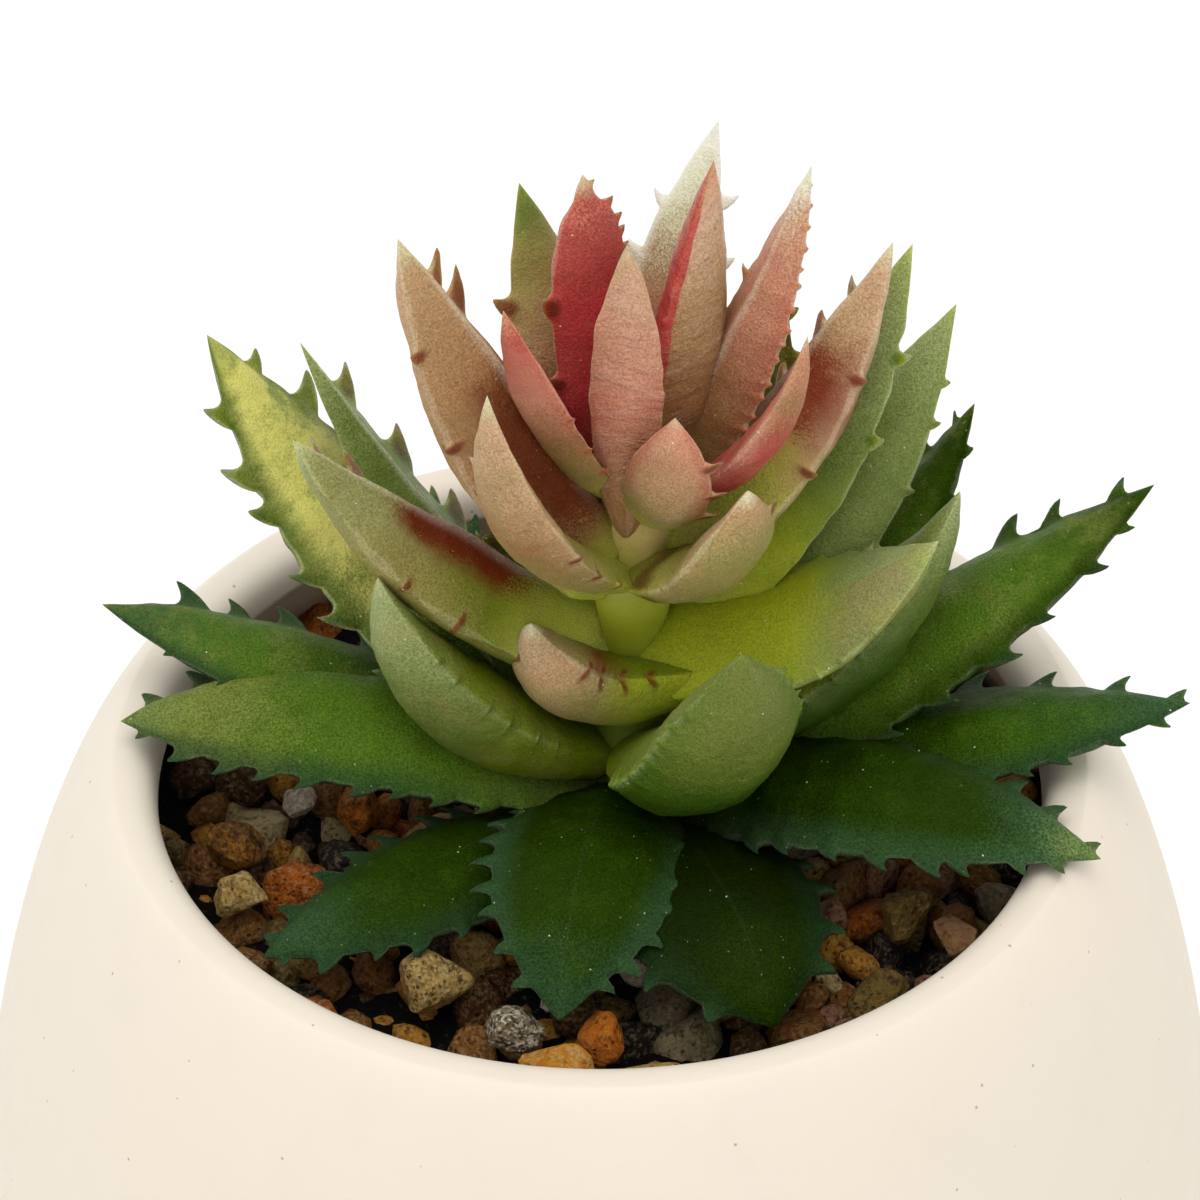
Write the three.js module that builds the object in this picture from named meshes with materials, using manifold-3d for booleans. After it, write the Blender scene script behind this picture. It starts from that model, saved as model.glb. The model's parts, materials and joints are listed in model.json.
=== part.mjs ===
// A toothed succulent rosette in an egg-shaped ceramic pot, dressed with gravel.
// Millimetres, +Z up. The origin is the middle of the pot's flat foot.
// -Y is the front. Every leaf, stone and layer is a solid of its own.

import * as THREE from 'three';
import { mergeVertices } from 'three/addons/utils/BufferGeometryUtils.js';
import Module from 'manifold-3d';

// Pot
const POT_HEIGHT = 80;
const POT_WIDEST_RADIUS = 50.5;
const POT_WIDEST_HEIGHT = 28.5;
const POT_FOOT_RADIUS = 31;
const POT_CREST_RADIUS = 36.4;
const POT_OPENING_RADIUS = 33.3;
const POT_LIP_DROP = 3.4;
const LIP_POWER = 3;
const LIP_ANGLES = [12, 26, 40, 54, 70];
const POT_WALL = 5;
const THROAT_HEIGHT = 8;
const FLOOR_CORNER = 2;
const SHOULDER_OUTWARD_POWER = 1.42;
const SHOULDER_UPWARD_POWER = 1.65;
const FOOT_POWER = 2.3;
const POT_SEGMENTS = 48;
const OUTSIDE_HEIGHTS = [0, 1, 4, 9, 17, 28.5, 40, 51, 60, 67, 72, 76, 78.8];
const WALL_HEIGHTS = [5.5, 12, 26, 44, 56, 62, 68, 72, 75, 76.6];

// Filling
const SOIL_TOP = 62;
const GRAVEL_TOP = 70.6;
const GRAVEL_BUMP = 0.7;
const GRAVEL_MIDDLE = 67;
const GRAVEL_RINGS = [1, 0.86, 0.68, 0.45];
const CLEARANCE = 0.3;

// Stem
const STEM_X = 2.4;
const STEM_FOOT = 52;
const STEM_TOP = 108;
const STEM_DOME = 3;
const STEM_RADIUS = 2.4;
const COLLAR_RADIUS = 2.9;
const COLLAR_HEIGHTS = [75.5, 80.5, 87.5, 95, 101.5];
const COLLAR_HALF_HEIGHT = 2.2;
const COLLAR_CREST = 0.9;
const STEM_SEGMENTS = 12;
const DOME_ANGLES = [0, 30, 60];
const ROOT_RADIUS = 3.7;

// Leaf shape
const LEAF_STATIONS = 9;
const LEAF_RING = 8;
const LEAF_WIDEST = 0.4;
const LEAF_SECTION_POWER = 0.75;
const LEAF_UPPER_SHARE = 0.45;

// Colours
const CREAM = 0xeee6d7;
const DARK_SOIL = 0x2b211a;
const GRAVEL_BROWN = 0x6d563f;
const YELLOW_GREEN = 0x9caa3c;

// Leaves, lowest tier first. A row lists a leaf's fields in the order of LEAF_FIELDS.
// direction: degrees from +X. reach: from the stem's axis to the tip.
// bow: the rise of the middle above the straight line from root to tip. sway: its sideways shift.
// roll: degrees about the leaf's own length. rootTurn: degrees from the direction to the root.
// rootShare: the root's width over the greatest. thickness: over the width. taper: bluntness of the tip.
const LEAF_FIELDS = ['direction', 'reach', 'rootHeight', 'tipHeight', 'width', 'bow', 'sway', 'roll',
  'rootTurn', 'rootShare', 'thickness', 'taper'];
const LEAF_TIERS = {
  skirt: {
    color: 0x2f5a2c,
    leaves: [
      [212.5, 32, 73, 74, 11, 1.8, 1, 0, 0, 0.62, 0.48, 2.4],
      [292, 26.7, 73, 74.3, 15, 3, 0, 0, 0, 0.62, 0.48, 2.8],
      [169, 40.8, 75, 87, 10, 0.5, 0, 0, 0, 0.62, 0.48, 2.6],
      [358, 41.4, 75, 85, 11, 0.5, 0, 0, 0, 0.62, 0.48, 2.4],
      [48, 31, 75, 86, 10, 1, 0, 0, 0, 0.62, 0.48, 2.4],
      [90, 34, 75, 84, 11, 1, 0, 0, 0, 0.62, 0.48, 2.4],
      [130, 31, 75, 86, 10, 1, 0, 0, 0, 0.62, 0.48, 2.4],
    ],
  },
  lower: {
    color: 0x3a6a30,
    leaves: [
      [258, 25.6, 76.5, 75.2, 14.6, 2.8, -0.5, 0, 0, 0.62, 0.48, 2],
      [180, 38.3, 76, 82, 12.4, 2, 0, 0, 0, 0.62, 0.48, 2.8],
      [338, 36.6, 76, 80.5, 12.6, 3, -0.8, 0, 0, 0.62, 0.48, 2.2],
      [12, 39.5, 76, 98, 12, -1.5, 0, 0, 0, 0.62, 0.48, 2],
      [155, 34.7, 79, 107, 12, -3, 0, -10, 0, 0.62, 0.48, 2.2],
      [22, 27.1, 78, 104, 10, -3, 0, 0, 0, 0.62, 0.48, 2],
      [102, 20.2, 79, 112, 9, -3, 0, 0, 0, 0.62, 0.48, 1.7],
    ],
  },
  middle: {
    color: 0x6f8f3a,
    leaves: [
      [148.5, 28.9, 80, 106, 7.6, -2, 0, 12, 0, 0.62, 0.5, 1.7],
      [189, 18.6, 80, 98, 12, -3.2, 0, 30, 0, 0.62, 0.58, 1.7],
      [296, 17.1, 81.5, 101, 12.5, -3.2, 0, 0, 0, 0.62, 0.6, 3],
      [5, 23.7, 81, 102, 12, -3.6, 0, -20, 0, 0.62, 0.58, 1.7],
      [23, 25.3, 84, 113, 10, -2, 0, 25, 0, 0.62, 0.48, 1.7],
      [54, 18.5, 80, 112, 9, -3, 0, 0, 0, 0.62, 0.48, 1.7],
      [125, 15, 80, 110, 9, -3, 0, 0, 0, 0.62, 0.48, 1.7],
    ],
  },
  upper: {
    color: 0x8aa046,
    leaves: [
      [176.5, 24.4, 89, 107, 10, -2.3, 0, 6, 0, 0.95, 0.72, 1.7],
      [205, 8.2, 88.6, 94.2, 9.6, -2.2, 0, 46, 70, 0.85, 0.6, 2.4],
      [350, 22, 90.5, 102, 11.5, -2.4, 0, 14, 0, 0.95, 0.48, 1.7],
      [20, 20.9, 91, 120, 8.6, -2, 0, 30, 0, 0.75, 0.48, 1.7],
      [72, 15, 87, 114, 9, -2, 0, 0, 0, 0.62, 0.48, 1.7],
      [112, 15, 87, 114, 9, -2, 0, 0, 0, 0.62, 0.48, 1.7],
    ],
  },
  inner: {
    color: 0xb98a6a,
    leaves: [
      [190, 16.3, 98.5, 127, 10, -1.5, 0, -28, 0, 0.8, 0.78, 1.7],
      [125, 14.2, 100, 122.2, 8.5, 0, 0, 0, 0, 0.8, 0.48, 1.7],
      [61, 12.2, 100, 128, 8, 0, 1.2, 0, 0, 0.8, 0.48, 1.7],
      [9, 18.1, 97.5, 123, 8.4, -2, 0, 10, 0, 0.85, 0.78, 1.7],
      [232, 16.1, 98.5, 121.1, 7.4, -3, 0, 0, 0, 0.8, 0.48, 1.7],
      [310, 12.1, 98.5, 110.6, 8.6, -2, 0, 0, 0, 0.8, 0.48, 2.4],
      [102, 9, 97, 119, 7.5, -1, 0, 0, 0, 0.62, 0.48, 1.7],
    ],
  },
  crown: {
    color: 0xc0695c,
    leaves: [
      [130, 5.6, 104, 127.6, 6.8, 0, 0, 0, 0, 0.8, 0.48, 4],
      [218, 11.3, 106.5, 124, 4.8, -0.9, 0.4, 15, 0, 0.8, 0.48, 2.2],
      [261, 3.3, 106.5, 127, 5.2, 0, 0, 0, 0, 0.75, 0.48, 2],
      [23, 5.8, 104, 130, 8.4, 0, 0, -17, 30, 0.7, 0.6, 1.7],
      [8, 12.1, 101, 130, 6.8, -1.2, 0, 40, 50, 0.7, 0.55, 1.7],
      [290, 8, 104.8, 115.5, 6.2, -1.4, 0, -40, 0, 0.85, 0.48, 2.4],
      [333, 13.1, 104.5, 121.2, 5.4, -2, 0, -10, 0, 0.8, 0.48, 1.7],
    ],
  },
};

// Large stones, [name, x, y, z of the middle, length, width, height, turn in degrees, colour].
const STONES = [
  ['stone_granite_front', -6.2, -23.6, 73, 4.6, 4, 3.6, 10, 0x9a948c],
  ['stone_brown_front', -12.2, -18.4, 72.8, 5.6, 4.6, 4.4, 35, 0x7d6a55],
  ['stone_ochre_front', -3.2, -27.6, 73, 5.6, 3.6, 3.6, 5, 0xb5813d],
  ['stone_orange_front', 0.2, -24.6, 72.8, 4.2, 3.8, 3.8, 70, 0x9a5d2c],
  ['stone_tan_front', 3.6, -28.2, 72.8, 4.6, 2.6, 2.6, 15, 0xa58c66],
  ['stone_beige_left', -27, -8.6, 72.2, 4.6, 3.8, 3.6, 160, 0xb0a07e],
  ['stone_dark_left', -27.6, -2.6, 72, 4.6, 4, 3.8, 20, 0x3c2e28],
  ['stone_white_left', -23.2, 2.6, 71.8, 3.2, 2.8, 2.8, 40, 0xd6c8bc],
  ['stone_amber_left', -18.6, 1.4, 71.8, 4.4, 3.8, 3.6, 80, 0xa8682e],
  ['stone_egg_right', 22.4, -11.2, 73, 4.6, 4, 4.2, 30, 0x6e5f4c],
  ['stone_pink_right', 26.4, -13.4, 72.4, 4.2, 3.2, 3.2, 130, 0xb88f80],
  ['stone_olive_right', 20.2, -20.2, 72.8, 5, 3.6, 3.6, 50, 0x6b5f40],
];
const STONE_ROUGHNESS = 0.12;

const wasm = await Module();
wasm.setup();

// A smooth repeatable value between -1 and 1 for a point and a seed.
function wobble(x, y, z, seed) {
  const a = Math.sin(x * 1.7 + seed * 12.9) + Math.sin(y * 2.1 + seed * 7.3);
  return (a + Math.sin(z * 1.9 + x + y + seed * 3.1)) / 3;
}

function bodyFromGeometry(geometry) {
  const bare = geometry.clone();
  bare.deleteAttribute('normal');
  bare.deleteAttribute('uv');
  const merged = mergeVertices(bare, 1e-4);
  return new wasm.Manifold(new wasm.Mesh({
    numProp: 3,
    vertProperties: new Float32Array(merged.attributes.position.array),
    triVerts: new Uint32Array(merged.index.array),
  }));
}

// The largest connected piece of a cut body, as a geometry.
function largestPiece(body) {
  const mesh = body.getMesh();
  const parent = Array.from({ length: mesh.numVert }, (_, i) => i);
  const find = (i) => {
    while (parent[i] !== i) {
      parent[i] = parent[parent[i]];
      i = parent[i];
    }
    return i;
  };
  for (let t = 0; t < mesh.triVerts.length; t += 3) {
    parent[find(mesh.triVerts[t])] = find(mesh.triVerts[t + 1]);
    parent[find(mesh.triVerts[t])] = find(mesh.triVerts[t + 2]);
  }
  const pieces = new Map();
  for (let t = 0; t < mesh.triVerts.length; t += 3) {
    const root = find(mesh.triVerts[t]);
    if (!pieces.has(root)) pieces.set(root, []);
    pieces.get(root).push(...mesh.triVerts.slice(t, t + 3));
  }
  const corner = (i) => new THREE.Vector3().fromArray(mesh.vertProperties, i * mesh.numProp);
  const volume = (triangles) => {
    let sum = 0;
    for (let t = 0; t < triangles.length; t += 3) {
      sum += corner(triangles[t]).dot(corner(triangles[t + 1]).cross(corner(triangles[t + 2])));
    }
    return sum;
  };
  const best = [...pieces.values()].sort((a, b) => volume(b) - volume(a))[0];
  const geometry = new THREE.BufferGeometry();
  const points = best.flatMap((i) => corner(i).toArray());
  geometry.setAttribute('position', new THREE.Float32BufferAttribute(points, 3));
  return mergeVertices(geometry, 1e-4);
}

// Turns a list of [radius, height] about +Z.
function turned(profile, segments) {
  const points = profile.map(([r, z]) => new THREE.Vector2(r, z));
  const geometry = new THREE.LatheGeometry(points, segments);
  geometry.rotateX(Math.PI / 2);
  return geometry;
}

function potOuterRadius(z) {
  if (z >= POT_WIDEST_HEIGHT) {
    const up = (z - POT_WIDEST_HEIGHT) / (POT_HEIGHT - POT_WIDEST_HEIGHT);
    const out = Math.max(0, 1 - up ** SHOULDER_UPWARD_POWER) ** (1 / SHOULDER_OUTWARD_POWER);
    return POT_CREST_RADIUS + (POT_WIDEST_RADIUS - POT_CREST_RADIUS) * out;
  }
  const down = (POT_WIDEST_HEIGHT - z) / POT_WIDEST_HEIGHT;
  const out = Math.sqrt(Math.max(0, 1 - down ** FOOT_POWER));
  return POT_FOOT_RADIUS + (POT_WIDEST_RADIUS - POT_FOOT_RADIUS) * out;
}

function potInnerRadius(z) {
  const mouth = POT_HEIGHT - POT_LIP_DROP;
  const side = potOuterRadius(z) - POT_WALL;
  const closing = Math.min(1, Math.max(0, (mouth - z) / THROAT_HEIGHT));
  return POT_OPENING_RADIUS + (side - POT_OPENING_RADIUS) * Math.sqrt(closing);
}

// The inner wall's radius on its straight facets, less a gap for what fills the pot.
function fillRadius(z) {
  const next = Math.max(1, WALL_HEIGHTS.findIndex((height) => height >= z));
  const [low, high] = [WALL_HEIGHTS[next - 1], WALL_HEIGHTS[next]];
  const share = (z - low) / (high - low);
  const wall = THREE.MathUtils.lerp(potInnerRadius(low), potInnerRadius(high), share);
  return wall - CLEARANCE;
}

function potProfile() {
  const profile = [[0, 0]];
  for (const z of OUTSIDE_HEIGHTS) profile.push([potOuterRadius(z), z]);
  profile.push([POT_CREST_RADIUS, POT_HEIGHT]);
  for (const angle of LIP_ANGLES) {
    const a = THREE.MathUtils.degToRad(angle);
    const inward = Math.sin(a) ** (2 / LIP_POWER);
    const drop = 1 - Math.cos(a) ** (2 / LIP_POWER);
    const r = POT_CREST_RADIUS - (POT_CREST_RADIUS - POT_OPENING_RADIUS) * inward;
    profile.push([r, POT_HEIGHT - POT_LIP_DROP * drop]);
  }
  for (const z of WALL_HEIGHTS.toReversed()) profile.push([potInnerRadius(z), z]);
  profile.push([potInnerRadius(WALL_HEIGHTS[0]) - FLOOR_CORNER, POT_WALL]);
  profile.push([0, POT_WALL]);
  return profile;
}

function soilProfile() {
  const floor = POT_WALL + CLEARANCE;
  const top = SOIL_TOP - CLEARANCE;
  const profile = [[0, floor], [fillRadius(WALL_HEIGHTS[0]) - FLOOR_CORNER, floor]];
  for (const z of WALL_HEIGHTS.filter((height) => height > floor + 1 && height < top)) {
    profile.push([fillRadius(z), z]);
  }
  profile.push([fillRadius(top), top], [0, top]);
  return profile;
}

// A disc of packed gravel with an uneven top.
function gravelGeometry() {
  const profile = [[0, SOIL_TOP]];
  for (const z of [SOIL_TOP, GRAVEL_MIDDLE, GRAVEL_TOP - 1]) profile.push([fillRadius(z), z]);
  const rim = fillRadius(GRAVEL_TOP + GRAVEL_BUMP) - 1;
  for (const share of GRAVEL_RINGS) profile.push([rim * share, GRAVEL_TOP]);
  profile.push([0, GRAVEL_TOP]);
  const geometry = turned(profile, POT_SEGMENTS);
  const position = geometry.attributes.position;
  for (let i = 0; i < position.count; i += 1) {
    if (position.getZ(i) > GRAVEL_TOP - 0.01) {
      const bump = wobble(position.getX(i), position.getY(i), 0, 4);
      position.setZ(i, GRAVEL_TOP + GRAVEL_BUMP * bump);
    }
  }
  return geometry;
}

function stemGeometry(grow = 0) {
  const profile = [[0, STEM_FOOT - grow], [STEM_RADIUS + grow, STEM_FOOT - grow]];
  for (const z of COLLAR_HEIGHTS) {
    profile.push([STEM_RADIUS + grow, z - COLLAR_HALF_HEIGHT]);
    profile.push([COLLAR_RADIUS + grow, z - COLLAR_CREST]);
    profile.push([COLLAR_RADIUS + grow, z + COLLAR_CREST]);
    profile.push([STEM_RADIUS + grow, z + COLLAR_HALF_HEIGHT]);
  }
  for (const angle of DOME_ANGLES) {
    const a = THREE.MathUtils.degToRad(angle);
    const z = STEM_TOP - STEM_DOME * (1 - Math.sin(a));
    profile.push([STEM_RADIUS * Math.cos(a) + grow, z]);
  }
  profile.push([0, STEM_TOP + grow]);
  const geometry = turned(profile, STEM_SEGMENTS);
  geometry.translate(STEM_X, 0, 0);
  return geometry;
}

function leafWidthShare(leaf, s) {
  const swell = 1 - (1 - leaf.rootShare) * (1 - Math.min(s, LEAF_WIDEST) / LEAF_WIDEST) ** 2;
  const past = Math.max(0, (s - LEAF_WIDEST) / (1 - LEAF_WIDEST));
  return swell * (1 - past ** leaf.taper);
}

// One leaf: a lens section swept from the stem to a pointed tip. grow fattens it on every side.
function leafGeometry(leaf, grow = 0) {
  const place = (degrees, r, z) => {
    const angle = THREE.MathUtils.degToRad(degrees);
    return new THREE.Vector3(STEM_X + r * Math.cos(angle), r * Math.sin(angle), z);
  };
  const root = place(leaf.direction + leaf.rootTurn, ROOT_RADIUS, leaf.rootHeight);
  const tip = place(leaf.direction, leaf.reach, leaf.tipHeight);
  const chord = tip.clone().sub(root).normalize();
  const side = new THREE.Vector3(0, 0, 1).cross(chord).normalize();
  const up = chord.clone().cross(side);
  const bend = root.clone().add(tip).multiplyScalar(0.5);
  bend.addScaledVector(up, 2 * leaf.bow).addScaledVector(side, 2 * leaf.sway);
  const spine = new THREE.QuadraticBezierCurve3(root, bend, tip);
  const thickness = leaf.width * leaf.thickness;
  const turn = THREE.MathUtils.degToRad(leaf.roll);
  const points = [];
  for (let i = 0; i < LEAF_STATIONS; i += 1) {
    const s = i / LEAF_STATIONS;
    const centre = spine.getPoint(s);
    const along = spine.getTangent(s);
    if (i === 0) centre.addScaledVector(along, -grow);
    const across = side.clone().addScaledVector(along, -side.dot(along)).normalize();
    const normal = along.clone().cross(across);
    const u = across.clone().multiplyScalar(Math.cos(turn)).addScaledVector(normal, Math.sin(turn));
    const v = normal.clone().multiplyScalar(Math.cos(turn)).addScaledVector(across, -Math.sin(turn));
    const widthShare = leafWidthShare(leaf, s);
    const half = (leaf.width / 2) * widthShare + grow;
    for (let j = 0; j < LEAF_RING; j += 1) {
      const angle = (j / LEAF_RING) * 2 * Math.PI;
      const over = Math.cos(angle);
      const share = Math.sin(angle) >= 0 ? LEAF_UPPER_SHARE : 1 - LEAF_UPPER_SHARE;
      const lens = (1 - over * over) ** LEAF_SECTION_POWER;
      const rise = Math.sign(Math.round(Math.sin(angle) * 1e6)) * lens;
      const height = rise * (share * thickness * widthShare + grow);
      points.push(centre.clone().addScaledVector(u, half * over).addScaledVector(v, height));
    }
  }
  const rootCentre = points.length;
  points.push(root.addScaledVector(spine.getTangent(0), -grow));
  points.push(tip.addScaledVector(spine.getTangent(1), 3 * grow));
  const triangles = [];
  for (let i = 0; i < LEAF_STATIONS - 1; i += 1) {
    for (let j = 0; j < LEAF_RING; j += 1) {
      const a = i * LEAF_RING + j;
      const b = i * LEAF_RING + ((j + 1) % LEAF_RING);
      triangles.push(a, b, b + LEAF_RING, a, b + LEAF_RING, a + LEAF_RING);
    }
  }
  const lastRing = (LEAF_STATIONS - 1) * LEAF_RING;
  for (let j = 0; j < LEAF_RING; j += 1) {
    const next = (j + 1) % LEAF_RING;
    triangles.push(rootCentre, next, j, lastRing + j, lastRing + next, rootCentre + 1);
  }
  const geometry = new THREE.BufferGeometry().setFromPoints(points);
  geometry.setIndex(triangles);
  return geometry;
}

function stoneGeometry([, x, y, z, length, width, height, turn], index, grow = 0) {
  const ball = new THREE.IcosahedronGeometry(1, 1);
  ball.deleteAttribute('normal');
  ball.deleteAttribute('uv');
  const geometry = mergeVertices(ball);
  const position = geometry.attributes.position;
  for (let i = 0; i < position.count; i += 1) {
    const point = new THREE.Vector3().fromBufferAttribute(position, i);
    const swell = 1 + STONE_ROUGHNESS * wobble(point.x * 2, point.y * 2, point.z * 2, index + 1);
    point.multiplyScalar(swell);
    point.multiply(new THREE.Vector3(length / 2 + grow, width / 2 + grow, height / 2 + grow));
    position.setXYZ(i, point.x, point.y, point.z);
  }
  geometry.rotateZ(THREE.MathUtils.degToRad(turn));
  geometry.translate(x, y, z);
  return geometry;
}

const plant = new THREE.Group();

function addMesh(name, geometry, color, roughness) {
  const flat = geometry.toNonIndexed();
  flat.computeVertexNormals();
  const material = new THREE.MeshStandardMaterial({ color, roughness, metalness: 0 });
  const mesh = new THREE.Mesh(flat, material);
  mesh.name = name;
  plant.add(mesh);
}

// Stem first, then stones, then each leaf cut clear of what is already there.
const fattened = [bodyFromGeometry(stemGeometry(CLEARANCE))];

function cutClear(body) {
  let cut = body;
  const own = body.boundingBox();
  for (const other of fattened) {
    const box = other.boundingBox();
    const apart = [0, 1, 2].some((k) => box.min[k] > own.max[k] || box.max[k] < own.min[k]);
    if (!apart) cut = cut.subtract(other);
  }
  return largestPiece(cut);
}

const leafParts = [];
for (const [tier, { color, leaves }] of Object.entries(LEAF_TIERS)) {
  leaves.forEach((row, index) => {
    const leaf = Object.fromEntries(LEAF_FIELDS.map((field, k) => [field, row[k]]));
    const geometry = cutClear(bodyFromGeometry(leafGeometry(leaf)));
    fattened.push(bodyFromGeometry(leafGeometry(leaf, CLEARANCE)));
    leafParts.push([`leaf_${tier}_${index + 1}`, geometry, color]);
  });
}

const stoneParts = STONES.map((stone, index) => {
  const geometry = cutClear(bodyFromGeometry(stoneGeometry(stone, index)));
  fattened.push(bodyFromGeometry(stoneGeometry(stone, index, CLEARANCE)));
  return [stone[0], geometry, stone[8]];
});

addMesh('pot', turned(potProfile(), POT_SEGMENTS), CREAM, 0.55);
addMesh('soil', cutClear(bodyFromGeometry(turned(soilProfile(), POT_SEGMENTS))), DARK_SOIL, 0.95);
addMesh('gravel_bed', cutClear(bodyFromGeometry(gravelGeometry())), GRAVEL_BROWN, 0.85);
addMesh('stem', stemGeometry(), YELLOW_GREEN, 0.5);
for (const [name, geometry, color] of leafParts) addMesh(name, geometry, color, 0.45);
for (const [name, geometry, color] of stoneParts) addMesh(name, geometry, color, 0.8);

export default plant;
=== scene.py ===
"""A toothed succulent rosette in an egg-shaped ceramic pot dressed with gravel.

Lengths in the tables are millimetres, and MM turns them into Blender's metres.
+Z is up, -Y is the front, and the origin is the middle of the pot's flat foot.
"""

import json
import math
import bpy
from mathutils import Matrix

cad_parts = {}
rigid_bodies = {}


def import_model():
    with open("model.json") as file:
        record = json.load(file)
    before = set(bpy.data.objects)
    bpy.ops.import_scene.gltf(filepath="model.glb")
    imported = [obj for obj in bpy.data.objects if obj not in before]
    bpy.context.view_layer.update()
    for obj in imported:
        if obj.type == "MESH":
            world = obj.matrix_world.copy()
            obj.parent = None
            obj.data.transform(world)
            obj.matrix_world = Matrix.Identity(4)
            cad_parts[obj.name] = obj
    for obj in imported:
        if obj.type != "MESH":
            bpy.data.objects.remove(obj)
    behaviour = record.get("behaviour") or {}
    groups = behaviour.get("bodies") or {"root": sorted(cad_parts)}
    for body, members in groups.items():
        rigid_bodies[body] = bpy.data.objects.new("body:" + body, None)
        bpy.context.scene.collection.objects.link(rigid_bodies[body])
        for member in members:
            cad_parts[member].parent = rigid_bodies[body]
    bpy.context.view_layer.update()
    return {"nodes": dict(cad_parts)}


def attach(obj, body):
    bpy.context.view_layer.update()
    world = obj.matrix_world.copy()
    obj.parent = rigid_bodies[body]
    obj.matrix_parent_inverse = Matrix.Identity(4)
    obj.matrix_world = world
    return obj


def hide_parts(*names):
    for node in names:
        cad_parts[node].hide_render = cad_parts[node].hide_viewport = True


bl_info = {
    "name": "Potted Toothed Succulent",
    "version": (1, 0, 0),
    "blender": (4, 5, 0),
    "location": "View3D > Sidebar > Succulent",
    "description": "Makes a toothed succulent in a ceramic pot, with its gravel and studio stage",
    "category": "Object",
}

from typing import NamedTuple

import bmesh
import bpy
import numpy as np
from bpy.props import FloatProperty, FloatVectorProperty, IntProperty, PointerProperty, StringProperty
from bpy.types import Operator, Panel, PropertyGroup
from mathutils import Vector

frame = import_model()
MM = 0.001


# ---------------------------------------------------------------------------
# Sizes and colours a user would change
# ---------------------------------------------------------------------------

def linear(hex_colour):
    """The linear RGB of a hex colour such as "aabbcc"."""
    parts = [int(hex_colour[i:i + 2], 16) / 255 for i in (0, 2, 4)]
    return tuple(p / 12.92 if p <= 0.04045 else ((p + 0.055) / 1.055) ** 2.4 for p in parts)


def length(name, description, millimetres):
    return FloatProperty(name=name, description=description, default=millimetres * MM,
                         min=0.0, unit="LENGTH", precision=4)


def number(name, description, default, **limits):
    return FloatProperty(name=name, description=description, default=default, **limits)


def colour(name, description, hex_colour):
    return FloatVectorProperty(name=name, description=description, subtype="COLOR", size=3,
                               min=0.0, max=1.0, default=linear(hex_colour))


class PotSettings(PropertyGroup):
    """The ceramic pot."""
    height: length("Height", "Foot to the crest of the lip", 80)
    widest_radius: length("Widest Radius", "Radius of the belly", 50.5)
    widest_height: length("Widest Height", "Height of the belly above the foot", 28.5)
    foot_radius: length("Foot Radius", "Radius of the flat foot", 31)
    crest_radius: length("Crest Radius", "Radius of the lip's highest circle", 36.4)
    opening_radius: length("Opening Radius", "Radius of the opening's narrowest circle", 33.3)
    lip_drop: length("Lip Drop", "How far the lip rolls down into the opening", 3.4)
    wall: length("Wall", "Thickness of the wall", 5)
    segments: IntProperty(name="Segments", description="Steps round the pot", default=192, min=24)
    glaze: colour("Ceramic", "Matt ceramic body colour", "ece1d0")
    blush: colour("Pink Patch", "Faint pink patches in the ceramic", "efd7c6")
    speck: colour("Speck", "Small specks in the ceramic", "9c8674")
    # Brown painted shade, with the gravel's reflected colour, on the inner wall above the gravel
    inner_shade: colour("Inner Shade", "Brown film on the wall above the gravel", "7b6344")


class FillingSettings(PropertyGroup):
    """Gravel and ground."""
    ground_height: length("Ground Height", "Top of the dark grit under the stones", 68.3)
    stone_top: length("Stone Top", "Height the upper stones reach", 72.2)
    stone_size: number("Stone Size", "Factor on every small stone's size", 1.15, min=0.2, max=2.0)
    stone_count: IntProperty(name="Stone Count", description="Small stones in the filling",
                             default=610, min=1)
    seed: IntProperty(name="Seed", description="Seed of the gravel", default=7, min=0)
    # Near-black grit: its colour paints the deep shade in the gaps between the stones
    ground: colour("Grit", "Dark grit between the stones", "0d0906")
    soil: colour("Soil", "Peaty potting mix", "2b2019")
    brown: colour("Brown", "Brown stones", "8a5a22")
    dark_brown: colour("Dark Brown", "Dark brown stones", "50300c")
    ochre: colour("Ochre", "Ochre stones", "c88a28")
    orange: colour("Orange", "Rust orange stones", "b8620e")
    tan: colour("Tan", "Tan stones", "b89450")
    beige: colour("Beige", "Pale beige stones", "cab680")
    grey: colour("Grey", "Grey granite stones", "8c7e60")
    dark: colour("Dark", "Nearly black stones", "1c140c")
    pink: colour("Pink", "Pinkish stones", "a87a5c")
    olive: colour("Olive", "Olive stones", "6c5824")
    plum: colour("Plum", "Purplish brown stones", "56361a")
    white: colour("White", "Quartz white stones", "e6d6c0")


class StemSettings(PropertyGroup):
    """The upright stem."""
    centre_x: length("Centre", "The stem's axis, to the right of the pot's", 2.4)
    foot: length("Foot", "Lowest point of the stem", 52)
    top: length("Top", "Highest point of the stem", 108)
    radius: length("Radius", "Radius between the collars", 2.4)
    collar_radius: length("Collar Radius", "Radius of the swollen collars", 2.9)
    flesh: colour("Flesh", "Glowing top of the stem", "f4d68c")


class LeafSettings(PropertyGroup):
    """The form that all leaves share."""
    root_radius: length("Root Radius", "Distance of a leaf's root from the stem's axis", 3.7)
    step: length("Step", "Spacing of the rings along a leaf", 0.17)
    ring: IntProperty(name="Ring", description="Points round a leaf", default=32, min=8)
    seed: IntProperty(name="Seed", description="Seed of the teeth and waves", default=31, min=0)
    translucency: number("Translucency", "Share of light that passes under the skin", 0.3,
                         min=0.0, max=1.0, subtype="FACTOR")


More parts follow.
